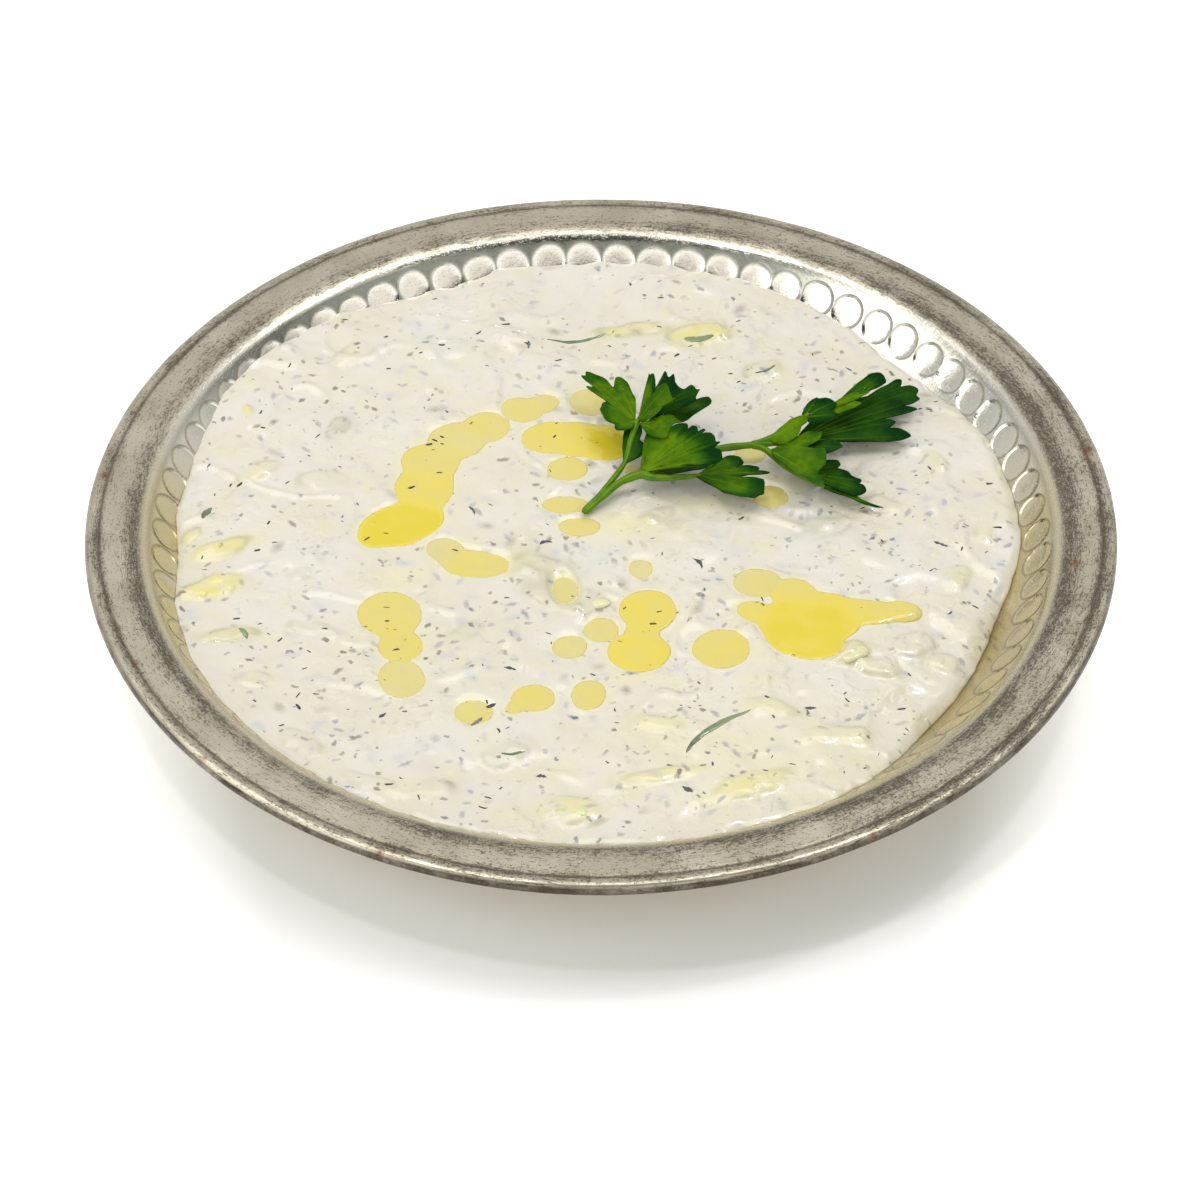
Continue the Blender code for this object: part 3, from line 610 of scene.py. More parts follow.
def make_oil(finish):
    """Cells of a square grid that reach into a pool. Corners outside are moved onto the outline along the depth's
    gradient, where the upper and under sides meet, so each pool is a closed lens."""
    x, y = np.meshgrid(np.arange(-56, 72, OIL_STEP), np.arange(-62, 50, OIL_STEP), indexing="xy")
    depth, _ = oil_depth(x, y)
    rows, columns = x.shape
    cells = grid_faces(rows, columns, False)[:, ::-1]
    cells = cells[(depth.ravel()[cells] > 0).any(1)]
    used, cells = np.unique(cells, return_inverse=True)
    cells = cells.reshape(-1, 4)
    x, y = x.ravel()[used], y.ravel()[used]
    outside = depth.ravel()[used] <= 0
    for _ in range(6):
        here, step = oil_depth(x, y)[0], 0.02
        slope_x = (oil_depth(x + step, y)[0] - oil_depth(x - step, y)[0]) / (2 * step)
        slope_y = (oil_depth(x, y + step)[0] - oil_depth(x, y - step)[0]) / (2 * step)
        pull = np.where(outside, -here / np.maximum(slope_x ** 2 + slope_y ** 2, 0.05), 0.0)
        pull = np.clip(pull, -0.3, 0.3)
        x, y = x + pull * slope_x, y + pull * slope_y
    depth, rich = oil_depth(x, y)
    upper = np.stack([x, y, oil_top(x, y)], -1)
    inside = ~outside
    under = np.stack([x, y, dip_top(x, y) - OIL_BED], -1)[inside]
    under_number = np.where(inside, len(x) + np.cumsum(inside) - 1, np.arange(len(x)))
    faces = np.concatenate([cells, under_number[cells][:, ::-1]])
    richness = np.concatenate([rich, rich[inside]])
    deep = np.concatenate([depth, depth[inside]])
    marks = {"depth": np.clip(deep, 0, 9), "rich": richness}
    oil = make_piece("olive_oil", np.concatenate([upper, under]), [faces], [finish], marks)
    return oil


# ---------------------------------------------------------------- cucumber and herbs

# Cucumber that breaks the surface: x, y, half-length, half-width, thickness, turn, how far its middle stands over
# the dip, and how green its skin side is
CHUNKS = [
    (22.5, 67.0, 5.0, 2.4, 1.8, 12, -0.1, 1.0), (-7.5, -13.5, 7.5, 2.4, 1.8, -52, -0.25, 0.0),
    (-2.0, -22.5, 4.2, 1.6, 1.5, 22, -0.1, 0.1), (53, -37.5, 3.0, 1.8, 1.6, 35, 0.0, 0.3),
    (-80.5, -16.5, 4.6, 1.8, 1.5, 15, -0.15, 0.2), (-6, -84.5, 4.0, 2.0, 1.6, -5, -0.1, 0.0),
]
# Strips of dark green skin: path, half-width, darkness at the start and at the end
SKINS = [
    ([(17.5, -66.5), (19.5, -63), (23, -59.5), (27, -56.5), (31, -54.5)], 0.75, 1.0, 0.15),
    ([(-12, 64.5), (-7, 64), (-2, 65), (1, 66.5)], 0.45, 1.0, 0.5),
    ([(18.5, 64.8), (21.5, 64.2), (25, 65.2)], 0.9, 0.35, 0.5),
    ([(-85.5, 5.5), (-84.8, 7.3), (-83.8, 9.0)], 0.8, 1.0, 0.6),
    ([(-76, -29.8), (-74.8, -31), (-74.2, -32.6)], 0.6, 0.3, 0.5),
    ([(34, 52.5), (37, 53.5), (38.5, 55.0)], 0.3, 1.0, 0.6),
    ([(-20.5, -67.8), (-18.5, -68.2), (-15.5, -67.5)], 0.28, 1.0, 0.5),
]
# Flakes of herb that stand out, in whole mm: in the oil first, then over the dip
NOTED = [
    (-36, 31), (-35, 32), (-37, 30), (-35, 30), (-10, 32), (-11, 21), (-41, 15), (-35, 20), (-50, -1), (-46, 0),
    (-45, -23), (-43, -36), (-31, -5), (-23, -53), (-24, -52), (4, -33), (11, -28), (33, -21), (34, -22), (34, -20),
    (-85, 23), (-80, 16), (-78, 16), (-83, 13), (-71, 4), (-70, -3), (-73, -5), (-84, -10), (-77, -26), (-72, -28),
    (-67, -33), (-61, -37), (-58, -30), (-62, 32), (-74, 39), (-63, -50), (-59, -50), (-72, -52), (-37, -81),
    (-43, -78), (-63, -54), (-21, -61), (3, -58), (3, -54), (-23, -80), (-24, -83), (1, -70), (34, -51), (36, -56),
    (51, -50), (34, -72), (39, -70), (50, -72), (54, -70), (64, -41), (62, -51), (63, -57), (79, -20), (74, -23),
    (70, -11), (71, -10), (84, 18), (71, 22), (85, 4), (72, 42), (78, 3), (-74, 34), (-40, 60), (-27, 67), (-35, 62),
    (-9, 57), (-21, 70), (-48, 66), (-57, 72), (-34, 40), (-47, 55), (-69, 55), (13, 80), (7, 84), (31, 72), (25, 58),
    (17, 60), (47, 61), (32, 54), (74, 45), (2, 63), (-20, -20), (-2, -43), (20, -46), (45, 40), (60, -2), (30, 5),
]
FLECKS = 480
SHREDS = 14


def make_chunks(finish):
    """Each piece a flattened boulder: a sphere's grid with its sides squared by an even power and roughened by noise."""
    rows, columns = 14, 28
    tilt, azimuth = np.meshgrid(np.linspace(0.12, np.pi - 0.12, rows), np.arange(columns) * TURN / columns,
                                indexing="ij")
    parts, fans = [], []
    for index, (cx, cy, half_length, half_width, thickness, turn, proud, skin) in enumerate(CHUNKS):
        square = (np.abs(np.cos(azimuth)) ** 3 + np.abs(np.sin(azimuth)) ** 3) ** (-1 / 3)
        u = half_length * np.sin(tilt) ** 0.7 * np.cos(azimuth) * square
        v = half_width * np.sin(tilt) ** 0.7 * np.sin(azimuth) * square
        w = thickness * np.cos(tilt) * 0.5
        poles = np.array([[0, 0, thickness * 0.5], [0, 0, -thickness * 0.5]])
        local = np.concatenate([np.stack([u, v, w], -1).reshape(-1, 3), poles])
        uneven = 1 + 0.10 * noise(local[:, 0] + 9 * index, local[:, 1], 2.4, 81)
        cos, sin = math.cos(math.radians(turn)), math.sin(math.radians(turn))
        x = cx + uneven * (local[:, 0] * cos - local[:, 1] * sin)
        y = cy + uneven * (local[:, 0] * sin + local[:, 1] * cos)
        base = dip_top(np.array([cx]), np.array([cy]))[0] + proud - thickness * 0.5
        points = np.stack([x, y, base + local[:, 2] + 0.15 * noise(x, y, 2.1, 82)], -1)
        marks = {"skin": skin * smooth(0.2, 0.9, local[:, 1] / half_width)}
        quads, first, last = turned_faces(rows, columns)
        parts.append((points, quads, marks))
        shift = index * len(points)
        fans += [first + shift, last + shift]
    points, quads, marks = join_parts(parts)
    chunks = make_piece("cucumber_pieces", points, [quads, np.concatenate(fans)], [finish], marks)
    return chunks


def make_skins(finish):
    """Thin strips along paths: a width tapering to both ends, crowned across, lying just proud of the dip."""
    parts = []
    for index, (path, half_width, dark, dark_end) in enumerate(SKINS):
        count = 26
        line = path_points([(x, y, 0) for x, y in path], count)[:, :2]
        along = np.gradient(line, axis=0)
        along /= np.linalg.norm(along, axis=1, keepdims=True)
        across = np.stack([-along[:, 1], along[:, 0]], -1)
        share = np.linspace(0, 1, count)
        width = half_width * (0.12 + 0.88 * np.sin(np.pi * share) ** 0.6) * (
            1 + 0.25 * noise(share * 18 + 5 * index, share * 0, 2, 91))
        side = np.linspace(-1, 1, 7)
        flat = line[:, None, :] - across[:, None, :] * (width[:, None] * side[None, :])[..., None]
        ground = dip_top(flat[..., 0], flat[..., 1])
        crown = 0.16 * (1 - side[None, :] ** 2) * np.sin(np.pi * share)[:, None] ** 0.5
        upper = np.dstack([flat, ground + 0.03 + crown])
        under = np.dstack([flat, ground - 0.25])
        points, faces = thick_patch(upper, under)
        darkness = np.tile(np.repeat(dark + (dark_end - dark) * share, 7), 2)
        parts.append((points, faces[:, ::-1], {"dark": darkness}))
    points, faces, marks = join_parts(parts)
    skins = make_piece("cucumber_skins", points, [faces], [finish], marks)
    return skins


def make_flecks(finish):
    """Small flakes of dried herb: a six-cornered lens stretched, bent and tilted, about half of it in the dip."""
    draw = np.random.default_rng(17)
    radius = 91.0 * np.sqrt(draw.random(FLECKS))
    azimuth = TURN * draw.random(FLECKS)
    x, y = radius * np.cos(azimuth), radius * np.sin(azimuth)
    keep = (radius < edge_radius(azimuth) - 1.2) & (noise(x, y, 9, 18) + 0.5 * noise(x, y, 4, 19) > 0.0)
    noted = np.array(NOTED, float) + draw.uniform(-0.4, 0.4, (len(NOTED), 2))
    x, y = np.append(noted[:, 0], x[keep]), np.append(noted[:, 1], y[keep])
    count = len(x)
    length = np.where(np.arange(count) < len(noted), 0.45 + 0.55 * draw.random(count), 0.14 + 0.50 * draw.random(count) ** 2)
    width = length * draw.uniform(0.20, 0.46, count)
    heading = np.where(draw.random(count) < 0.6, draw.normal(0.0, 0.5, count), TURN * draw.random(count))
    corners = np.radians([0, 52, 128, 180, 232, 308])
    u = np.append(np.cos(corners), [0, 0])
    v = np.append(np.sin(corners), [0, 0])
    w = np.array([0, 0, 0, 0, 0, 0, 1.0, -1.0])
    bend = draw.normal(0, 0.22, count)[:, None] * length[:, None] * u[None, :] ** 2
    along = length[:, None] * u[None, :] * (1 + draw.uniform(-0.25, 0.25, (count, 8)))
    across = width[:, None] * v[None, :] * (1 + draw.uniform(-0.35, 0.35, (count, 8))) + bend
    cos, sin = np.cos(heading)[:, None], np.sin(heading)[:, None]
    px = x[:, None] + along * cos - across * sin
    py = y[:, None] + along * sin + across * cos
    thickness = 0.07 + 0.10 * draw.random(count)[:, None] * length[:, None]
    depth = oil_depth(px, py)[0]
    ground = np.where(depth > 0, oil_top(px, py), dip_top(px, py))
    pz = ground + 0.035 + w[None, :] * thickness
    ring, after = np.arange(6), (np.arange(6) + 1) % 6
    one = np.concatenate([np.stack([np.full(6, 6), ring, after], -1), np.stack([np.full(6, 7), after, ring], -1)])
    faces = (one[None] + 8 * np.arange(count)[:, None, None]).reshape(-1, 3)
    kind = draw.random(count)
    kind = np.where(depth[:, 6] > 0, 0.9 * (kind > 0.4), kind)
    kind[:len(noted)] = np.where(depth[:len(noted), 6] > 0, kind[:len(noted)], 0.35 * kind[:len(noted)])
    marks = {"kind": np.repeat(kind, 8)}
    flecks = make_piece("herb_flecks", np.stack([px, py, pz], -1), [faces], [finish], marks)
    return flecks


def make_shreds(finish):
    """Longer shreds of herb: narrow ribbons on short curved paths with a ragged width, thin and closed."""
    draw = np.random.default_rng(23)
    parts = []
    for _ in range(SHREDS):
        radius, azimuth = 86 * math.sqrt(draw.random()), TURN * draw.random()
        heading, length, curl = TURN * draw.random(), draw.uniform(0.9, 1.9), draw.normal(0, 0.2)
        half_width = draw.uniform(0.25, 0.5)
        share = np.linspace(-1, 1, 9)
        side = np.linspace(-1, 1, 4)
        u = share * length
        v = curl * length * share ** 2
        ragged = half_width * (1 - 0.75 * share ** 2) * (1 + 0.5 * draw.uniform(-1, 1, 9))
        along = np.broadcast_to(u[:, None], (9, 4))
        across = v[:, None] - ragged[:, None] * side[None, :]
        cx, cy = radius * math.cos(azimuth), radius * math.sin(azimuth)
        x = cx + along * math.cos(heading) - across * math.sin(heading)
        y = cy + along * math.sin(heading) + across * math.cos(heading)
        inside = oil_depth(x, y)[0] > 0
        ground = np.where(inside, oil_top(x, y), dip_top(x, y))
        crown = 0.10 * (1 - side[None, :] ** 2) + 0.02
        points, faces = thick_patch(np.dstack([x, y, ground + crown]), np.dstack([x, y, ground - 0.12]))
        parts.append((points, faces[:, ::-1], {"kind": draw.uniform(0.0, 0.62)}))
    points, faces, marks = join_parts(parts)
    shreds = make_piece("herb_shreds", points, [faces], [finish], marks)
    return shreds


# ---------------------------------------------------------------- parsley

STEMS = {                     # radius at the start, radius at the end, path
    "left_stem": (0.6, 0.75, [
        (-4.0, 6.0, 21.6), (0.0, 11.5, 22.1), (5.0, 19.5, 23.5), (6.5, 25.0, 25.5), (8.0, 29.5, 27.7)]),
    "thick_stem": (0.65, 1.15, [
        (-3.6, 5.6, 21.6), (0.0, 9.8, 22.1), (4.0, 14.0, 22.9), (8.5, 15.5, 24.0), (10.5, 15.0, 24.0)]),
    "low_stem": (1.0, 0.6, [
        (8.5, 15.5, 24.0), (11.5, 14.0, 24.4), (15.5, 13.5, 24.8), (21.5, 14.0, 25.0)]),
    "long_stem": (1.0, 0.8, [
        (8.5, 15.5, 24.0), (14.0, 19.5, 23.3), (19.5, 21.5, 23.5), (24.5, 23.5, 24.0), (29.0, 24.0, 24.5),
        (33.0, 24.0, 25.0)]),
    "upper_branch": (0.8, 0.6, [
        (32.5, 24.0, 25.0), (36.5, 25.5, 25.5), (40.5, 27.5, 27.0), (44.5, 29.8, 28.0)]),
    "lower_branch": (0.8, 0.6, [
        (32.5, 24.0, 25.0), (35.5, 22.5, 25.0), (38.5, 19.0, 24.5), (43.0, 15.0, 24.0), (48.5, 12.0, 23.5)]),
    "tail_branch": (0.6, 0.6, [(44.0, 29.5, 28.0), (46.5, 32.0, 27.8), (50.0, 32.7, 27.6)]),
    "middle_branch": (0.7, 0.6, [(32.5, 24.0, 25.0), (37.5, 24.5, 25.0), (42.5, 25.4, 24.6)]),
}
# Foot, heading, pitch and roll in degrees, tone from dark 0 to light 1, how much darker the margin is, and the outline
# from the foot round to it, as places along and across the leaf in mm. The tone and the darker margin are partly the
# leaf's own green and partly painted shade: leaves and fringes that lie on their shaded side are given dark tones.
LEAVES = {
    "left_leaf": ((7.5, 29.0, 27.5), 125, 5, 0, 0.80, 0.35, [
        (0.8, -0.6), (4.9, -3.5), (6.9, -4.1), (8.7, -4.8), (10.7, -5.4), (13.0, -5.2), (13.7, -4.4), (13.0, -3.6),
        (11.4, -2.1), (12.7, -2.1), (14.4, -2.2), (16.3, -1.6), (18.8, -0.2), (17.9, 0.8), (18.2, 1.6), (14.3, 1.4),
        (14.8, 2.7), (9.8, 1.9), (8.5, 2.0), (8.6, 2.7), (7.6, 3.8), (6.9, 4.6), (5.3, 5.1), (3.6, 5.5), (2.4, 5.2),
        (1.4, 4.6), (0.7, 5.1), (0.0, 5.2), (-0.6, 4.7), (-1.7, 2.5), (-0.5, 0.6)]),
    "left_fold": ((5.0, 19.5, 23.5), 75, 20, 0, 0.35, 0.2, [
        (0.2, -0.5), (2.5, -3.0), (4.5, -3.8), (5.6, -3.2), (6.5, -2.0), (8.5, -2.0), (10.2, -1.2), (10.6, 0.0),
        (10.0, 1.4), (8.0, 2.0), (5.0, 1.6), (2.0, 0.8), (0.2, 0.3)]),
    "centre_leaf": ((8.5, 16.0, 24.0), 30, 35, 0, 0.80, 0.75, [
        (4.6, -3.0), (8.4, -7.1), (11.8, -10.8), (14.4, -12.7), (15.3, -12.2), (16.1, -10.5), (15.8, -9.5),
        (15.6, -8.8), (17.2, -8.6), (16.6, -7.7), (17.0, -7.0), (17.2, -6.3), (17.0, -5.3), (16.1, -4.3),
        (15.6, -4.0), (16.6, -3.7), (16.4, -3.1), (15.3, -2.7), (15.5, -2.3), (15.7, -1.5), (15.2, -0.5),
        (14.0, -0.2), (14.4, 0.3), (14.5, 1.3), (13.2, 2.7), (11.5, 3.4), (10.4, 3.2), (9.4, 5.0), (7.4, 7.6),
        (5.9, 5.5), (4.7, 3.7), (3.1, 1.6)]),
    "centre_low_lobe": ((10.0, 14.5, 24.0), 15, 5, 0, 0.6, 0.4, [
        (0.3, -0.4), (6.0, -1.2), (10.0, -1.4), (14.0, -1.2), (16.0, -0.4), (16.5, 0.6), (15.6, 1.8), (13.5, 2.2),
        (9.0, 2.0), (4.0, 1.2), (0.3, 0.4)]),
    "low_leaf": ((20.5, 14.0, 25.0), 0, 0, 0, 0.62, 0.45, [
        (0.1, -0.6), (1.6, -2.3), (3.4, -3.6), (5.2, -5.0), (7.0, -5.9), (8.8, -6.6), (10.6, -6.9), (12.4, -7.0),
        (13.3, -6.3), (14.4, -5.3), (14.6, -3.6), (14.7, -1.7), (14.4, -0.6), (13.3, -0.6), (12.2, -0.9), (11.0, -1.6),
        (10.4, -0.8), (9.4, -0.1), (12.4, 0.8), (14.2, 1.2), (15.4, 1.5), (15.9, 1.9), (14.7, 2.5), (13.5, 2.6),
        (13.7, 3.2), (12.9, 3.9), (11.5, 4.0), (10.0, 3.3), (8.7, 2.5), (9.7, 3.2), (10.3, 4.5), (10.1, 5.6),
        (9.3, 6.5), (7.9, 6.7), (6.7, 6.2), (5.4, 4.8), (4.7, 3.6), (3.4, 2.4), (1.6, 1.0), (0.1, 0.2)]),
    "back_spike": ((8.0, 29.0, 27.5), 65, 50, 0, 0.70, 0.65, [
        (0.3, -0.5), (4.0, -1.9), (7.7, -1.8), (9.0, -1.4), (10.0, -0.9), (10.8, -0.3), (10.7, 0.1), (10.4, 0.4),
        (10.6, 0.7), (10.0, 0.7), (8.5, 0.4), (6.9, 0.1), (4.6, 0.0), (0.3, 0.3)]),
    "back_leaf": ((8.0, 29.0, 27.5), 30, 50, 0, 0.62, 0.1, [
        (0.4, -0.8), (2.8, -3.1), (5.0, -3.5), (6.6, -3.4), (8.3, -4.1), (9.6, -4.5), (9.2, -3.6), (9.8, -2.1),
        (10.3, -0.7), (10.3, 0.2), (9.2, 0.9), (7.2, 1.0), (5.3, 1.1), (3.4, 1.0), (0.4, 0.4)]),
    "back_dark_leaf": ((8.0, 29.0, 27.5), 40, 20, 0, 0.12, 0.1, [
        (0.4, -0.8), (6.0, -4.2), (10.0, -6.0), (11.9, -6.2), (12.6, -5.3), (13.8, -4.7), (14.5, -4.4), (14.1, -3.6),
        (14.3, -2.9), (14.1, -2.0), (13.2, -1.7), (12.4, -1.5), (12.1, -0.8), (12.1, 0.2), (12.5, 1.5), (13.1, 2.4),
        (13.7, 3.5), (13.0, 3.6), (12.4, 3.8), (12.7, 4.5), (13.0, 5.4), (12.3, 5.3), (10.4, 4.2), (9.4, 3.7),
        (5.0, 2.2), (0.5, 0.5)]),
    "back_side_leaf": ((10.5, 29.5, 27.0), 25, 5, 0, 0.50, 0.35, [
        (0.4, -0.8), (5.0, -3.4), (7.2, -3.7), (8.4, -3.3), (10.0, -2.6), (11.5, -2.0), (13.0, -1.4), (14.5, -0.7),
        (15.0, 0.1), (14.8, 1.0), (14.2, 1.4), (13.3, 1.7), (12.5, 1.7), (11.8, 1.2), (10.0, 1.4), (7.0, 1.8),
        (4.0, 1.6), (0.4, 0.6)]),
    "front_fold": ((8.5, 27.5, 28.0), -15, 20, 0, 0.65, 0.1, [
        (0.4, -0.8), (3.0, -4.2), (6.3, -5.2), (7.4, -4.8), (7.7, -3.0), (8.0, -1.8), (8.6, -0.8), (9.7, -0.3),
        (8.7, 0.6), (7.9, 1.4), (7.2, 1.9), (6.1, 1.9), (4.9, 1.3), (3.6, 0.6), (0.4, 0.5)]),
    "upper_strip": ((36.5, 25.0, 25.5), 25, 25, 0, 0.8, 0.1, [
        (0.2, -0.6), (1.4, -3.2), (3.6, -3.6), (5.2, -3.4), (6.6, -2.6), (7.4, -1.8), (8.8, -1.6), (9.5, -0.5),
        (9.2, 0.8), (7.0, 1.5), (4.0, 1.2), (1.5, 0.6), (0.2, 0.3)]),
    "crown_leaf": ((44.0, 29.5, 28.0), 20, 10, 0, 0.12, 0.1, [
        (0.2, -1.0), (0.6, -2.8), (2.8, -3.5), (4.8, -3.3), (5.7, -3.1), (6.5, -2.4), (6.7, -1.6), (6.4, -0.4),
        (7.4, 0.0), (8.0, 0.9), (7.9, 1.7), (7.5, 2.5), (7.0, 3.1), (6.3, 3.6), (5.6, 3.8), (5.0, 4.2), (5.0, 4.6),
        (4.6, 4.6), (3.9, 4.4), (3.0, 4.0), (2.1, 3.4), (1.3, 2.7), (0.6, 1.9), (0.0, 1.2), (-0.1, 0.6)]),
    "broad_leaf": ((36.5, 22.0, 25.0), -20, 20, 0, 0.72, 0.2, [
        (0.3, -0.5), (1.3, -1.8), (4.2, -4.3), (8.3, -7.5), (12.1, -9.8), (15.6, -12.0), (16.6, -11.1), (15.8, -9.2),
        (14.2, -7.9), (14.8, -5.1), (14.2, -2.1), (13.0, 0.2), (11.0, 0.4), (8.7, 1.0), (10.5, 2.7), (10.9, 4.1),
        (10.3, 6.4), (8.8, 6.6), (6.9, 6.1), (5.2, 4.2), (3.7, 2.3), (0.5, 0.8)]),
    "broad_back_lobe": ((37.5, 23.0, 24.6), -20, 18, 0, 0.12, 0.1, [
        (0.4, -1.0), (8.0, -1.6), (13.0, -1.2), (15.0, 0.2), (15.4, 1.6), (14.2, 2.8), (12.2, 3.2), (9.0, 2.6),
        (4.0, 1.2), (0.3, 0.4)]),
    "broad_dark_tip": ((43.5, 15.5, 24.0), -10, 0, 0, 0.42, 0.40, [
        (0.3, -0.5), (4.5, -2.2), (5.8, -2.7), (7.0, -3.4), (8.5, -3.8), (9.6, -4.0), (11.3, -4.3), (12.3, -4.2),
        (13.2, -3.7), (13.8, -3.0), (14.1, -2.1), (13.9, -1.3), (13.3, -0.6), (12.4, -0.4), (12.6, 0.0), (12.7, 0.6),
        (12.3, 1.1), (11.5, 1.3), (10.4, 1.8), (9.9, 2.3), (9.2, 2.8), (8.0, 3.1), (7.1, 3.4), (7.3, 4.1), (7.5, 4.9),
        (6.7, 5.7), (5.4, 5.6), (4.1, 5.0), (0.4, 0.9)]),
    "pointed_lobe": ((48.0, 12.0, 23.5), -20, -5, 0, 0.65, 0.5, [
        (0.2, -0.7), (2.9, -0.8), (4.5, -0.9), (6.0, -1.0), (7.6, -1.1), (9.5, -1.2), (10.2, -1.0), (12.0, -0.6),
        (13.0, -0.3), (13.5, 0.0), (11.4, 0.0), (10.2, 0.1), (9.3, 0.0), (8.2, 0.3), (7.1, 0.5), (6.2, 0.7),
        (4.7, 0.7), (3.3, 0.3), (1.8, 0.2), (0.2, 0.2)]),
    "tail_leaf": ((42.0, 25.5, 24.5), 25, 0, 8, 0.22, 0.1, [
        (0.3, -0.3), (2.9, -1.3), (10.7, -2.4), (13.7, -4.2), (17.7, -5.8), (19.9, -7.3), (22.6, -7.7), (24.7, -7.3),
        (24.2, -5.1), (23.2, -4.1), (21.5, -3.4), (22.6, -2.9), (23.6, -2.1), (22.8, -1.0), (21.6, -0.5), (23.1, 0.0),
        (27.3, -0.4), (29.8, -0.4), (28.7, 1.0), (27.1, 1.6), (29.9, 1.8), (31.8, 2.3), (31.6, 3.5), (32.6, 4.5),
        (32.5, 5.8), (31.5, 7.0), (29.7, 7.2), (30.2, 7.9), (30.5, 8.9), (29.0, 9.3), (26.4, 8.5), (23.0, 7.1),
        (13.8, 6.7), (5.4, 3.7), (0.5, 0.8)]),
    "tail_top_leaf": ((49.5, 32.5, 27.5), 40, 10, 0, 0.40, 0.5, [
        (0.3, -0.3), (6.0, -1.0), (9.6, -1.6), (11.4, -2.4), (14.3, -2.6), (15.2, -1.3), (15.5, -0.3), (15.4, 0.4),
        (14.9, 1.2), (14.1, 1.8), (13.1, 1.9), (11.9, 1.6), (10.5, 1.2), (9.2, 0.7), (6.0, 0.4), (0.3, 0.3)]),
    "tail_low_strip": ((49.5, 32.5, 27.9), 10, 10, 0, 0.9, 0.1, [
        (0.2, -0.8), (1.5, -2.3), (3.1, -1.9), (4.9, -1.7), (6.2, -1.1), (7.2, -0.2), (6.1, 0.6), (4.7, 1.1),
        (2.8, 1.4), (1.0, 0.6), (0.2, 0.3)]),
    "tail_high_strip": ((49.5, 32.5, 28.0), 25, 10, 0, 0.85, 0.1, [
        (0.2, -0.4), (3.0, -0.9), (6.5, -0.6), (9.8, -0.1), (10.0, 0.7), (9.0, 1.2), (6.0, 1.6), (3.0, 1.2),
        (0.2, 0.4)]),
    "small_tip": ((42.0, 25.0, 24.5), -5, -5, 0, 0.5, 0.4, [
        (0.2, -0.4), (4.0, -1.1), (7.0, -1.1), (8.8, -0.4), (8.9, 0.4), (8.1, 1.3), (5.5, 1.3), (3.0, 0.8),
        (0.2, 0.3)]),
}
LEAF_DROOP = 0.06
LEAF_STEPS = 5                # columns from each point of an outline to the next


def leaf_frame(heading, pitch, roll):
    """A leaf's length, width and upward directions."""
    h, p, r = (math.radians(angle) for angle in (heading, pitch, roll))
    length = np.array([math.cos(h) * math.cos(p), math.sin(h) * math.cos(p), math.sin(p)])
    side = np.array([-math.sin(h), math.cos(h), 0.0])
    up = np.cross(length, side)
    return length, math.cos(r) * side + math.sin(r) * up, math.cos(r) * up - math.sin(r) * side


def leaf_surface(leaf, along, share):
    """Points on a leaf at places along its outline and shares of the way out from its foot, with how near a vein
    each is. A vein runs to each point of the outline that lies further out than both its neighbours. The height over
    the flat leaf is a droop that grows as the square of the reach, a trough along each vein and a ripple outwards."""
    foot, heading, pitch, roll, _, _, outline = leaf
    ends = np.asarray(outline, float)
    reach = np.hypot(*ends.T)
    longest = reach.max()
    flat = curve_at(ends, along) * share[..., None]
    flat_x, flat_y = flat[..., 0], flat[..., 1]
    tips = np.flatnonzero((reach[1:-1] > reach[:-2]) & (reach[1:-1] > reach[2:])) + 1
    vein_distance = np.full(np.shape(share), 9.0)
    for tip in tips:
        way = ends[tip] / reach[tip]
        past = np.maximum(flat_x * way[0] + flat_y * way[1] - 0.93 * reach[tip], 0)
        vein_distance = np.minimum(vein_distance, np.abs(flat_y * way[0] - flat_x * way[1]) + past)
    trough = 0.32 * smooth(0.0, 2.2, vein_distance) * smooth(0.05, 0.5, share)
    ripple = 0.35 * noise(flat_x + 3 * heading, flat_y, 3.0, 101) * share ** 2
    quilt = 0.08 * noise(flat_x + 3 * heading, flat_y, 1.5, 102)
    rise = trough + ripple + quilt - LEAF_DROOP * (flat_x ** 2 + flat_y ** 2) / longest
    length_way, width_way, up_way = leaf_frame(heading, pitch, roll)
    place = (np.asarray(foot) + flat_x[..., None] * length_way + flat_y[..., None] * width_way
             + rise[..., None] * up_way)
    return place, np.exp(-(vein_distance / 0.16) ** 2), up_way


def make_leaves(finish):
    """Every leaf a closed fan: columns along its outline, rows from its foot to its margin, thick in the middle and
    thin at the margin, where its tone may darken."""
    parts = []
    for leaf in LEAVES.values():
        tone, darker, outline = leaf[4:]
        longest = max(math.hypot(x, y) for x, y in outline)
        rows = int(np.clip(longest * 0.9, 8, 15))
        share, along = np.meshgrid(1 - (1 - np.linspace(0.03, 1, rows)) ** 1.25,
                                   np.linspace(0, len(outline) - 1, LEAF_STEPS * (len(outline) - 1) + 1), indexing="ij")
        place, vein, up_way = leaf_surface(leaf, along, share)
        thick = (0.24 - 0.18 * share ** 3)[..., None] * up_way
        points, faces = thick_patch(place + thick, place - thick)
        # Partly the leaf's own green and partly painted shade, dark on leaves and margins seen on their shaded side.
        shade = tone + 0.20 * noise(place[..., 0], place[..., 1], 4.0, 103) - darker * smooth(0.70, 0.92, share)
        marks = {"tone": np.tile(np.clip(shade, 0, 1).ravel(), 2), "vein": np.tile((vein * (1 - share)).ravel(), 2)}
        parts.append((points, faces, marks))
    points, faces, marks = join_parts(parts)
    leaves = make_piece("parsley_leaves", points, [faces], [finish], marks)
    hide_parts("parsley")
    return leaves


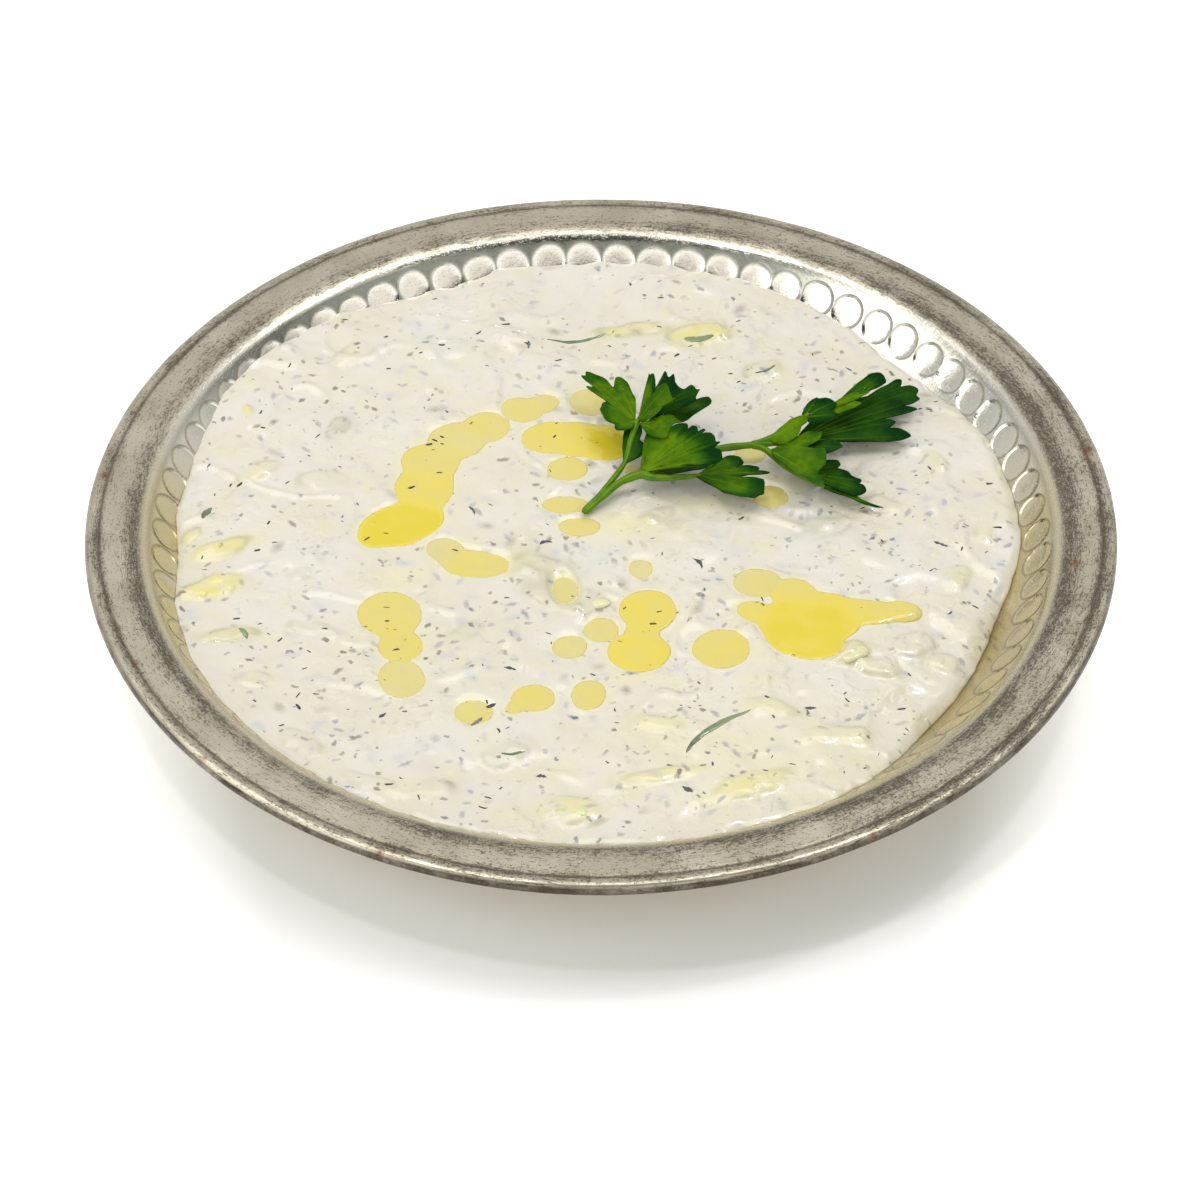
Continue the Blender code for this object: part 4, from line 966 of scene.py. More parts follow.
def make_stems(finish):
    """Tapered bars along smooth paths, their outline a circle with five shallow ridges, closed by a rounded end."""
    parts, fans, shift = [], [], 0
    for start, end, path in STEMS.values():
        rows, columns = 34, 20
        line = path_points(path, rows)
        along = np.gradient(line, axis=0)
        along /= np.linalg.norm(along, axis=1, keepdims=True)
        side = np.cross(along, [0, 0, 1.0])
        side /= np.linalg.norm(side, axis=1, keepdims=True)
        up = np.cross(side, along)
        share = np.linspace(0, 1, rows)
        rounded = np.sqrt(np.clip(1 - (1 - np.minimum(share, 1 - share) / 0.03) ** 2 * (
            np.minimum(share, 1 - share) < 0.03), 0.15, 1))
        radius = (start + (end - start) * share) * rounded * (1 + 0.06 * np.sin(share * 23 + start * 9))
        angle = np.arange(columns) * TURN / columns
        ridged = 0.92 * radius[:, None] * (1 + 0.07 * np.cos(5 * angle)[None, :])
        points = (line[:, None, :] + side[:, None, :] * (ridged * np.cos(angle))[..., None]
                  + up[:, None, :] * (ridged * np.sin(angle))[..., None]).reshape(-1, 3)
        caps = np.stack([line[0] - along[0] * start * 0.25, line[-1] + along[-1] * end * 0.25])
        quads, first, last = turned_faces(rows, columns)
        parts.append((np.concatenate([points, caps]), quads, {"ridge": np.append(
            np.tile(np.cos(5 * angle), rows), [0, 0])}))
        fans += [first + shift, last + shift]
        shift += len(points) + 2
    points, quads, marks = join_parts(parts)
    stems = make_piece("parsley_stems", points, [quads, np.concatenate(fans)], [finish], marks)
    return stems


DROPS = {                     # drops of water on each leaf
    "back_leaf": 13, "front_fold": 9, "centre_leaf": 9, "crown_leaf": 4, "back_side_leaf": 4, "back_spike": 2,
    "left_leaf": 2, "upper_strip": 2, "tail_top_leaf": 3, "broad_dark_tip": 3, "broad_leaf": 2, "left_fold": 2,
}


def make_drops(finish):
    """Each drop a low dome: a sphere's grid pressed to half its height, its underside in the leaf. Places drawn once."""
    rows, columns = 7, 10
    draw = np.random.default_rng(29)
    parts, fans = [], []
    names = [name for name, count in DROPS.items() for _ in range(count)]
    for index, name in enumerate(names):
        along, share = draw.uniform(0.12, 0.88) * (len(LEAVES[name][6]) - 1), draw.uniform(0.25, 0.92)
        size = 0.16 + 0.26 * draw.random() ** 1.6
        place, _, up_way = leaf_surface(LEAVES[name], np.array([along]), np.array([share]))
        tilt, azimuth = np.meshgrid(np.linspace(0.2, np.pi - 0.2, rows), np.arange(columns) * TURN / columns,
                                    indexing="ij")
        level = np.concatenate([(0.55 * np.cos(tilt)).ravel(), [0.55, -0.55]])
        flat = np.concatenate([np.sin(tilt).ravel(), [0, 0]])
        turn = np.concatenate([azimuth.ravel(), [0, 0]])
        side = np.cross(up_way, [1.0, 0, 0])
        side /= np.linalg.norm(side)
        other = np.cross(up_way, side)
        points = (place[0] + up_way * (0.24 - 0.1 * size) + size * (
            flat[:, None] * (np.cos(turn)[:, None] * side + np.sin(turn)[:, None] * other)
            + level[:, None] * up_way))
        quads, first, last = turned_faces(rows, columns)
        parts.append((points, quads, {}))
        fans += [first + index * len(points), last + index * len(points)]
    points, quads, _ = join_parts(parts)
    return make_piece("water_drops", points, [quads, np.concatenate(fans)], [finish])


# ---------------------------------------------------------------- finishes

def rgb(red, green, blue):
    """A colour given as screen values from 0 to 255, turned into the shader's linear values."""
    shares = [value / 255 for value in (red, green, blue)]
    return (*(s / 12.92 if s <= 0.04045 else ((s + 0.055) / 1.055) ** 2.4 for s in shares), 1.0)


class Tree:
    """Short calls that place and join the nodes of one material or node group."""

    def __init__(self, tree):
        self.tree = tree

    def add(self, kind, inputs=None, **settings):
        """Place a node, set what it is told, and link or set each input."""
        made = self.tree.nodes.new(kind)
        for name, value in settings.items():
            setattr(made, name, value)
        for key, value in (inputs or {}).items():
            if isinstance(value, bpy.types.NodeSocket):
                self.tree.links.new(value, made.inputs[key])
            else:
                made.inputs[key].default_value = value
        return made

    def math(self, operation, first, second=0.0, clamp=False):
        """One sum of two values."""
        return self.add("ShaderNodeMath", {0: first, 1: second}, operation=operation, use_clamp=clamp).outputs[0]

    def spread(self, value, low, high, new_low=0.0, new_high=1.0):
        """A value's range stretched to another, clamped at both ends."""
        return self.add("ShaderNodeMapRange", {
            "Value": value, "From Min": low, "From Max": high, "To Min": new_low, "To Max": new_high,
        }).outputs["Result"]

    def blend(self, share, first, second, way="MIX"):
        """A mix of two colours by a share."""
        mixer = self.tree.nodes.new("ShaderNodeMix")
        mixer.data_type, mixer.blend_type = "RGBA", way
        for key, value in ((0, share), (6, first), (7, second)):
            if isinstance(value, bpy.types.NodeSocket):
                self.tree.links.new(value, mixer.inputs[key])
            else:
                mixer.inputs[key].default_value = value
        return mixer.outputs[2]

    def mark(self, name):
        """A piece's own values, stored on its points."""
        return self.add("ShaderNodeAttribute", attribute_name=name).outputs["Fac"]

    def noise(self, vector, scale, detail=2.0, roughness=0.5):
        """Noise from 0 to 1."""
        return self.add("ShaderNodeTexNoise", {
            "Vector": vector, "Scale": scale, "Detail": detail, "Roughness": roughness}).outputs["Fac"]

    def ramp(self, value, stops, interpolation="LINEAR"):
        """Colours along a value."""
        made = self.add("ShaderNodeValToRGB", {"Fac": value})
        made.color_ramp.interpolation = interpolation
        stops = list(stops)
        made.color_ramp.elements[0].position, made.color_ramp.elements[0].color = stops[0]
        made.color_ramp.elements[1].position, made.color_ramp.elements[1].color = stops[-1]
        for position, colour in stops[1:-1]:
            made.color_ramp.elements.new(position).color = colour
        return made.outputs["Color"]

    def group(self, group, **inputs):
        """Place a node group, with its inputs by name."""
        placed = self.tree.nodes.new("ShaderNodeGroup")
        placed.node_tree = group
        for key, value in inputs.items():
            if isinstance(value, bpy.types.NodeSocket):
                self.tree.links.new(value, placed.inputs[key])
            else:
                placed.inputs[key].default_value = value
        return placed.outputs


def new_group(name, inputs, outputs):
    """An empty node group with named sockets, and its input and output nodes."""
    group = bpy.data.node_groups.new(name, "ShaderNodeTree")
    for socket, kind in inputs:
        group.interface.new_socket(socket, in_out="INPUT", socket_type=kind)
    for socket, kind in outputs:
        group.interface.new_socket(socket, in_out="OUTPUT", socket_type=kind)
    return group, Tree(group), group.nodes.new("NodeGroupInput").outputs, group.nodes.new("NodeGroupOutput").inputs


def make_speckle_group():
    """Specks: fine noise cut off at a level, with a softness at their edges."""
    group, tree, given, result = new_group(
        "specks",
        [("Place", "NodeSocketVector"), ("Scale", "NodeSocketFloat"), ("Level", "NodeSocketFloat"),
         ("Softness", "NodeSocketFloat")],
        [("Mask", "NodeSocketFloat")])
    value = tree.noise(given["Place"], given["Scale"], 3.0, 0.6)
    low = tree.math("SUBTRACT", given["Level"], given["Softness"])
    high = tree.math("ADD", given["Level"], given["Softness"])
    group.links.new(tree.spread(value, low, high), result["Mask"])
    return group


def make_grain_group():
    """Uneven surface: a coarse and a fine noise added up as a height."""
    group, tree, given, result = new_group(
        "uneven skin",
        [("Place", "NodeSocketVector"), ("Coarse Scale", "NodeSocketFloat"), ("Fine Scale", "NodeSocketFloat"),
         ("Fine Share", "NodeSocketFloat")],
        [("Height", "NodeSocketFloat")])
    coarse = tree.noise(given["Place"], given["Coarse Scale"], 1.0)
    fine = tree.noise(given["Place"], given["Fine Scale"], 2.0)
    group.links.new(tree.math("ADD", coarse, tree.math("MULTIPLY", fine, given["Fine Share"])), result["Height"])
    return group


def make_drift_group():
    """Tone drift: two colours mixed by a slow noise."""
    group, tree, given, result = new_group(
        "tone drift",
        [("Place", "NodeSocketVector"), ("Scale", "NodeSocketFloat"), ("First", "NodeSocketColor"),
         ("Second", "NodeSocketColor")],
        [("Color", "NodeSocketColor"), ("Share", "NodeSocketFloat")])
    share = tree.spread(tree.noise(given["Place"], given["Scale"], 2.0), 0.35, 0.65)
    group.links.new(tree.blend(share, given["First"], given["Second"]), result["Color"])
    group.links.new(share, result["Share"])
    return group


def make_scatter_group():
    """Scattered slivers: in each cell of a flat cell pattern one soft-edged ellipse about the cell's own point, turned
    by a chance angle, frayed by a fine noise, and left out where the cell's chance is above a share."""
    group, tree, given, result = new_group(
        "scattered slivers",
        [("Place", "NodeSocketVector"), ("Scale", "NodeSocketFloat"), ("Share", "NodeSocketFloat"),
         ("Length", "NodeSocketFloat"), ("Width", "NodeSocketFloat"), ("Softness", "NodeSocketFloat")],
        [("Mask", "NodeSocketFloat"), ("Chance", "NodeSocketFloat")])
    flat = tree.add("ShaderNodeVectorMath", {0: given["Place"], 1: (1, 1, 0)}, operation="MULTIPLY").outputs[0]
    fray = tree.add("ShaderNodeTexNoise", {"Vector": flat, "Scale": 1100.0, "Detail": 2.0})
    fray = tree.add("ShaderNodeVectorMath", {0: fray.outputs["Color"], 1: (0.5, 0.5, 0.5)}, operation="SUBTRACT")
    fray = tree.add("ShaderNodeVectorMath", {0: fray.outputs[0], 1: (0.0011, 0.0011, 0)}, operation="MULTIPLY")
    flat = tree.add("ShaderNodeVectorMath", {0: flat, 1: fray.outputs[0]}, operation="ADD").outputs[0]
    cells = tree.add("ShaderNodeTexVoronoi", {"Vector": flat, "Scale": given["Scale"]}, voronoi_dimensions="2D")
    away = tree.add("ShaderNodeVectorMath", {0: flat, 1: cells.outputs["Position"]}, operation="SUBTRACT").outputs[0]
    away = tree.add("ShaderNodeVectorMath", {0: away, "Scale": given["Scale"]}, operation="SCALE").outputs[0]
    chances = tree.add("ShaderNodeSeparateColor", {"Color": cells.outputs["Color"]}).outputs
    turned = tree.add("ShaderNodeVectorRotate", {"Vector": away, "Angle": tree.math("MULTIPLY", chances[0], TURN)},
                      rotation_type="Z_AXIS").outputs[0]
    size = tree.spread(chances[1], 0, 1, 0.45, 1.25)
    sides = tree.add("ShaderNodeCombineXYZ", {"X": tree.math("MULTIPLY", given["Length"], size),
                                              "Y": given["Width"], "Z": 1.0}).outputs[0]
    ratio = tree.add("ShaderNodeVectorMath", {0: turned, 1: sides}, operation="DIVIDE").outputs[0]
    ratio = tree.add("ShaderNodeVectorMath", {0: ratio}, operation="LENGTH").outputs["Value"]
    low = tree.math("SUBTRACT", 1.0, given["Softness"])
    mask = tree.math("SUBTRACT", 1.0, tree.spread(ratio, low, 1.0))
    here = tree.math("LESS_THAN", chances[2], given["Share"])
    group.links.new(tree.math("MULTIPLY", mask, here), result["Mask"])
    group.links.new(tree.math("FRACT", tree.math("MULTIPLY", chances[2], 37.0)), result["Chance"])
    return group


def new_finish(name, **constants):
    """A material with its Principled shader's constant sockets set, its tree helper and its object coordinates."""
    finish = bpy.data.materials.new(name)
    finish.use_nodes = True
    shader = finish.node_tree.nodes["Principled BSDF"]
    for socket, value in constants.items():
        shader.inputs[socket.replace("_", " ")].default_value = value
    tree = Tree(finish.node_tree)
    place = tree.add("ShaderNodeTexCoord").outputs["Object"]
    return finish, tree, shader.inputs, place


def bump(tree, shader, height, strength, distance_mm):
    """A height fed to the shader's Normal through a Bump node."""
    made = tree.add("ShaderNodeBump", {"Height": height, "Strength": strength, "Distance": distance_mm * MM})
    tree.tree.links.new(made.outputs["Normal"], shader["Normal"])


def tin_finish(groups):
    """Tin rubbed dull: warm grey, smudged brown in streaks that run round it, dark specks crowded in the worn bands,
    painted shade under the brim and on the bead's lower side, a painted yellow-olive reflection of the dip on the
    wall, painted dark slate reflection round the thumb marks at the back, a few rusty spots, and a crisp step round
    each thumb mark."""
    finish, tree, shader, place = new_finish("worn tin")
    wear_and_painted_shade, rust, groove, wall = tree.mark("wear_and_painted_shade"), tree.mark("rust"), tree.mark("groove"), tree.mark("wall")
    around = tree.add("ShaderNodeAttribute", attribute_name="turned").outputs["Vector"]
    thumb = tree.add("ShaderNodeAttribute", attribute_name="thumb").outputs["Vector"]
    thumb = tree.add("ShaderNodeVectorMath", {0: thumb, 1: (1, 1, 0)}, operation="MULTIPLY").outputs[0]
    thumb = tree.add("ShaderNodeVectorMath", {0: thumb}, operation="LENGTH").outputs["Value"]
    step = tree.spread(thumb, 0.80, 1.0)
    outline = tree.math("MULTIPLY", tree.spread(thumb, 0.84, 0.97), tree.spread(thumb, 0.98, 1.08, 1.0, 0.0))
    drift = tree.group(groups["drift"], Place=place, Scale=90.0, First=rgb(198, 190, 172), Second=rgb(180, 172, 152))
    streaks = tree.noise(around, 1.3, 4.0, 0.68)
    blotches = tree.noise(place, 140.0, 3.0, 0.6)
    # The wear mark brings both the worn bands and the painted shade under the brim and bead into the smudging.
    grime = tree.math("ADD", tree.math("ADD", tree.math("MULTIPLY", streaks, 0.55), tree.math("MULTIPLY", blotches, 0.45)),
                      tree.math("MULTIPLY", wear_and_painted_shade, 0.40))
    smudge = tree.spread(grime, 0.55, 0.95)
    base = tree.blend(tree.math("MULTIPLY", smudge, 0.62), drift["Color"], rgb(94, 88, 70))
    level = tree.spread(grime, 0.48, 0.95, 0.66, 0.50)
    specks = tree.group(groups["specks"], Place=place, Scale=1900.0, Level=level, Softness=0.06)["Mask"]
    dashes = tree.group(groups["specks"], Place=around, Scale=4.5, Level=level, Softness=0.05)["Mask"]
    dark = tree.math("MULTIPLY", tree.math("MAXIMUM", specks, dashes), 0.80)
    base = tree.blend(dark, base, rgb(54, 46, 34))
    base = tree.blend(tree.math("MULTIPLY", groove, 0.70), base, rgb(72, 60, 44))
    base = tree.blend(tree.math("MULTIPLY", wall, 0.75), base, rgb(222, 219, 208))
    # Painted reflection of the yellow dip on the wall.
    base = tree.blend(tree.math("MULTIPLY", tree.mark("painted_dip_reflection"), 0.80), base, rgb(206, 187, 122))
    base = tree.blend(tree.math("MULTIPLY", outline, 0.50), base, rgb(88, 90, 78))
    # Painted reflection: dark slate between the thumb marks at the back.
    between = tree.math("MULTIPLY", tree.mark("foot"), tree.spread(thumb, 0.90, 1.05))
    base = tree.blend(tree.math("MULTIPLY", between, 0.85), base, rgb(92, 96, 84))
    # Painted shade: the hollows of the thumb marks at the back a little darker.
    painted_hollow_shade = tree.math("MULTIPLY", tree.mark("foot"), tree.spread(thumb, 0.45, 0.75, 0.42, 0.0))
    base = tree.blend(painted_hollow_shade, base, rgb(172, 160, 146))
    # Painted shade on the bead's lower outer side, mottled by the streaks.
    painted_bead_underside_shade = tree.math("MULTIPLY", tree.mark("painted_bead_underside_shade"), tree.spread(streaks, 0.35, 0.65, 0.60, 0.97))
    base = tree.blend(painted_bead_underside_shade, base, rgb(56, 47, 36))
    base = tree.blend(tree.math("MULTIPLY", rust, 0.85), base, rgb(110, 58, 32))
    tree.tree.links.new(base, shader["Base Color"])
    worn = tree.math("MAXIMUM", dark, tree.math("MULTIPLY", smudge, 0.5))
    tree.tree.links.new(tree.math("SUBTRACT", 1.0, tree.math("MULTIPLY", worn, 0.5)), shader["Metallic"])
    rough = tree.math("ADD", tree.spread(wall, 0, 1, 0.31, 0.15), tree.math("MULTIPLY", worn, 0.22))
    tree.tree.links.new(rough, shader["Roughness"])
    grain = tree.group(groups["grain"], **{"Place": place, "Coarse Scale": 330.0, "Fine Scale": 1600.0,
                                           "Fine Share": 0.35})["Height"]
    height = tree.math("SUBTRACT", grain, tree.math("MULTIPLY", dark, 0.25))
    bump(tree, shader, tree.math("ADD", tree.math("MULTIPLY", height, 0.25), step), 0.7, 0.30)
    return finish


def dip_finish(groups):
    """Wet strained yoghurt: cream white, green where cucumber lies under it, grey-lilac in and round sunken herbs,
    yellow where oil has soaked in, painted yellow shade where the parsley's shadow falls and at the front right,
    scattered with slivers and specks of herb, its skin in low crisp-edged swirls."""
    finish, tree, shader, place = new_finish("herbed yoghurt", Roughness=0.30, Coat_Weight=0.85, Coat_Roughness=0.06,
                                             IOR=1.40)
    drift = tree.group(groups["drift"], Place=place, Scale=60.0, First=rgb(197, 193, 182), Second=rgb(195, 189, 173))
    base = drift["Color"]
    pale = tree.group(groups["specks"], Place=place, Scale=120.0, Level=0.58, Softness=0.10)["Mask"]
    base = tree.blend(tree.math("MULTIPLY", pale, 0.35), base, rgb(198, 194, 158))
    streak = tree.noise(place, 480.0, 2.0)
    halo = tree.math("MULTIPLY", tree.mark("halo"), tree.spread(streak, 0.42, 0.62, 0.25, 1.0))
    base = tree.blend(tree.math("MULTIPLY", halo, 0.50), base, rgb(150, 154, 172))
    base = tree.blend(tree.math("MULTIPLY", tree.mark("green"), 0.95), base, rgb(202, 190, 80))
    base = tree.blend(tree.math("MULTIPLY", tree.mark("grey"), 0.85), base, rgb(160, 158, 140))
    base = tree.blend(tree.math("MULTIPLY", tree.mark("rim"), 0.45), base, rgb(140, 138, 108))
    # Oil soaked into the dip, and painted shade where the parsley's shadow falls and at the front right.
    base = tree.blend(tree.mark("oil_stain_and_painted_shade"), base, rgb(210, 200, 136))
    crowd = tree.spread(tree.noise(place, 75.0, 2.0, 0.6), 0.40, 0.56, 0.15, 1.0)
    slivers = ((140.0, 0.34, 0.44, 0.22, 0.85, 0.55, (158, 163, 182)), (240.0, 0.26, 0.42, 0.18, 0.60, 0.80, (104, 108, 130)),
               (360.0, 0.15, 0.36, 0.19, 0.40, 0.95, (58, 58, 72)), (560.0, 0.08, 0.34, 0.20, 0.50, 0.90, (76, 76, 90)))
    sliver_height = None
    for scale, share, length, width, softness, strength, colour in slivers:
        sliver = tree.group(groups["scatter"], Place=place, Scale=scale, Share=share, Length=length, Width=width,
                            Softness=softness)
        shade = tree.math("MULTIPLY", sliver["Mask"], tree.spread(sliver["Chance"], 0, 1, 0.30 * strength, strength))
        tint = tree.blend(tree.spread(sliver["Chance"], 0.72, 0.78), rgb(*colour), rgb(110, 104, 84))
        base = tree.blend(tree.math("MULTIPLY", shade, crowd), base, tint)
        sliver_height = sliver["Mask"]
    tree.tree.links.new(base, shader["Base Color"])
    swirl = tree.group(groups["specks"], Place=place, Scale=95.0, Level=0.57, Softness=0.035)["Mask"]
    curd = tree.group(groups["specks"], Place=place, Scale=240.0, Level=0.61, Softness=0.035)["Mask"]
    grain = tree.group(groups["grain"], **{"Place": place, "Coarse Scale": 420.0, "Fine Scale": 1100.0,
                                           "Fine Share": 0.3})["Height"]
    lumpy = tree.spread(tree.noise(place, 30.0, 1.0), 0.46, 0.56, 0.12, 1.0)
    height = tree.math("ADD", tree.math("MULTIPLY", swirl, 0.8), tree.math("MULTIPLY", curd, 0.25))
    height = tree.math("ADD", tree.math("MULTIPLY", height, lumpy), tree.math("MULTIPLY", grain, 0.5))
    height = tree.math("ADD", height, tree.math("MULTIPLY", sliver_height, 0.15))
    bump(tree, shader, height, 0.85, 0.30)
    return finish


def oil_finish(groups):
    """Olive oil: thin and pale at a pool's edge, golden where it is deep and rich, clear enough to see the dip, with
    painted shade in a darker line along each outline.
    """
    finish, tree, shader, place = new_finish("olive oil", Roughness=0.06, IOR=1.47, Coat_Weight=0.3,
                                             Coat_Roughness=0.03)
    depth, rich = tree.mark("depth"), tree.mark("rich")
    cloud = tree.spread(tree.noise(place, 150.0, 2.0), 0.3, 0.7, -0.10, 0.10)
    deep = tree.math("MULTIPLY", tree.spread(depth, 0.0, 0.9, 0.7, 1.0), rich)
    deep = tree.math("ADD", deep, cloud, clamp=True)
    colour = tree.ramp(deep, [(0.0, rgb(214, 205, 154)), (0.35, rgb(213, 199, 117)), (0.7, rgb(210, 192, 80)),
                              (1.0, rgb(203, 184, 44))])
    # Painted shade: a darker golden line along each pool's outline, where light bends at its meniscus.
    rim = tree.spread(depth, 0.0, 0.35, 0.35, 0.0)
    colour = tree.blend(rim, colour, rgb(200, 184, 96))
    tree.tree.links.new(colour, shader["Base Color"])
    tree.tree.links.new(tree.spread(deep, 0.0, 0.8, 0.60, 0.93), shader["Alpha"])
    ripple = tree.group(groups["grain"], **{"Place": place, "Coarse Scale": 160.0, "Fine Scale": 500.0,
                                            "Fine Share": 0.1})["Height"]
    bump(tree, shader, ripple, 0.06, 0.3)
    return finish


def cucumber_finish(groups):
    """Wet cucumber flesh, pale and greenish, darker towards its skin."""
    finish, tree, shader, place = new_finish(
        "cucumber flesh", Roughness=0.16, Subsurface_Weight=0.3, Subsurface_Scale=0.003, Coat_Weight=0.4,
        Coat_Roughness=0.06)
    drift = tree.group(groups["drift"], Place=place, Scale=260.0, First=rgb(204, 202, 160), Second=rgb(186, 184, 140))
    base = tree.blend(tree.mark("skin"), drift["Color"], rgb(120, 132, 40))
    tree.tree.links.new(base, shader["Base Color"])
    bump(tree, shader, tree.group(groups["grain"], **{"Place": place, "Coarse Scale": 500.0, "Fine Scale": 1500.0,
                                                      "Fine Share": 0.4})["Height"], 0.2, 0.3)
    return finish


def skin_finish(groups):
    """Cucumber skin: very dark blue-green, wet, lighter in streaks."""
    finish, tree, shader, place = new_finish("cucumber skin", Roughness=0.22, Coat_Weight=0.5, Coat_Roughness=0.08)
    drift = tree.group(groups["drift"], Place=place, Scale=480.0, First=rgb(46, 66, 50), Second=rgb(84, 104, 74))
    base = tree.blend(tree.mark("dark"), rgb(128, 142, 96), drift["Color"])
    tree.tree.links.new(base, shader["Base Color"])
    bump(tree, shader, tree.noise(place, 1400.0), 0.25, 0.2)
    return finish


def herb_finish(groups):
    """Dried herb that has soaked: violet-black, green-black, slate blue and brown, one for each fleck."""
    finish, tree, shader, place = new_finish("soaked herbs", Roughness=0.45, Coat_Weight=0.3, Coat_Roughness=0.15)
    colour = tree.ramp(tree.mark("kind"), [
        (0.0, rgb(40, 40, 46)), (0.18, rgb(62, 64, 78)), (0.36, rgb(58, 70, 58)), (0.54, rgb(96, 98, 116)),
        (0.76, rgb(136, 138, 154)), (0.86, rgb(96, 82, 66)), (1.0, rgb(92, 86, 34))])
    drift = tree.group(groups["drift"], Place=place, Scale=900.0, First=rgb(255, 255, 255), Second=rgb(190, 190, 186))
    tree.tree.links.new(tree.blend(1.0, colour, drift["Color"], "MULTIPLY"), shader["Base Color"])
    bump(tree, shader, tree.noise(place, 2400.0), 0.4, 0.1)
    return finish


def leaf_finish(groups):
    """Fresh parsley: each leaf its own tone of green, partly painted shade where a leaf lies on its shaded side, paler
    veins, satin with a faint wet coat.
    """
    finish, tree, shader, place = new_finish(
        "parsley leaf", Roughness=0.34, Specular_IOR_Level=0.03)
    base = tree.ramp(tree.mark("tone"), [(0.0, rgb(4, 46, 8)), (0.45, rgb(38, 80, 4)), (1.0, rgb(86, 118, 3))])
    drift = tree.group(groups["drift"], Place=place, Scale=520.0, First=rgb(255, 255, 255), Second=rgb(214, 222, 208))
    base = tree.blend(1.0, base, drift["Color"], "MULTIPLY")
    base = tree.blend(tree.math("MULTIPLY", tree.mark("vein"), 0.40), base, rgb(112, 142, 20))
    tree.tree.links.new(base, shader["Base Color"])
    grain = tree.group(groups["grain"], **{"Place": place, "Coarse Scale": 900.0, "Fine Scale": 2600.0,
                                           "Fine Share": 0.35})["Height"]
    height = tree.math("SUBTRACT", grain, tree.math("MULTIPLY", tree.mark("vein"), 0.5))
    bump(tree, shader, height, 0.5, 0.22)
    return finish


def stem_finish(groups):
    """Parsley stem: light yellow-green, paler along its ridges."""
    finish, tree, shader, place = new_finish("parsley stem", Roughness=0.30, Specular_IOR_Level=0.10)
    drift = tree.group(groups["drift"], Place=place, Scale=300.0, First=rgb(54, 92, 6), Second=rgb(80, 116, 8))
    base = tree.blend(tree.spread(tree.mark("ridge"), -1, 1, 0, 0.3), drift["Color"], rgb(120, 150, 40))
    tree.tree.links.new(base, shader["Base Color"])
    bump(tree, shader, tree.noise(place, 1600.0), 0.15, 0.2)
    return finish


def water_finish():
    """Water: clear, seen by its glints."""
    finish, _, shader, _ = new_finish("water drop", Roughness=0.02, IOR=1.33, Transmission_Weight=1.0)
    shader["Base Color"].default_value = (0.95, 1.0, 0.92, 1.0)
    return finish


def floor_finish(groups):
    """Plain pale floor with the faintest unevenness. It glows with painted light further from the dish and not near its
    front, which paints a shadow there.
    """
    finish, tree, shader, place = new_finish("pale floor", Roughness=0.7)
    drift = tree.group(groups["drift"], Place=place, Scale=8.0, First=(0.85, 0.85, 0.84, 1), Second=(0.83, 0.83, 0.82, 1))
    tree.tree.links.new(drift["Color"], shader["Base Color"])
    # Painted light and shadow: the floor glows away from the dish and not near its front, so a painted shadow lies
    # there.
    away = tree.add("ShaderNodeVectorMath", {0: place, 1: (1.7, 1, 0), 2: (0, 0.03, 0)}, operation="MULTIPLY_ADD")
    away = tree.add("ShaderNodeVectorMath", {0: away.outputs["Vector"]}, operation="LENGTH").outputs["Value"]
    glow = tree.blend(tree.spread(away, 0.13, 0.20), (0.0, 0.0, 0.0, 1), (0.50, 0.50, 0.50, 1))
    tree.tree.links.new(glow, shader["Emission Color"])
    shader["Emission Strength"].default_value = 1.0
    return finish


# ---------------------------------------------------------------- studio

CAMERA_DISTANCE = 1.2
CAMERA_ELEVATION = math.radians(42.68)
CAMERA_TARGET = Vector((-0.0002, -0.0255, 0.025))
CAMERA_LENS = 171.4
LIGHTS = [                    # name, place and target in metres, size in metres, watts, colour
    ("overhead", (0.0, 0.36, 1.5), (0, 0.36, 0.0), (2.4, 0.75), 11.5, (1.0, 0.985, 0.96)),
    ("left", (-1.15, -0.27, 0.92), (0, 0, 0.02), (1.05, 0.9), 5.1, (1.0, 0.99, 0.98)),
    ("high left", (-0.36, -0.16, 1.5), (0, 0, 0.02), (0.12, 0.12), 2.4, (1.0, 1.0, 0.98)),
    ("high right", (0.50, 0.30, 1.3), (0, 0, 0.02), (0.12, 0.12), 2.0, (1.0, 1.0, 0.98)),
]


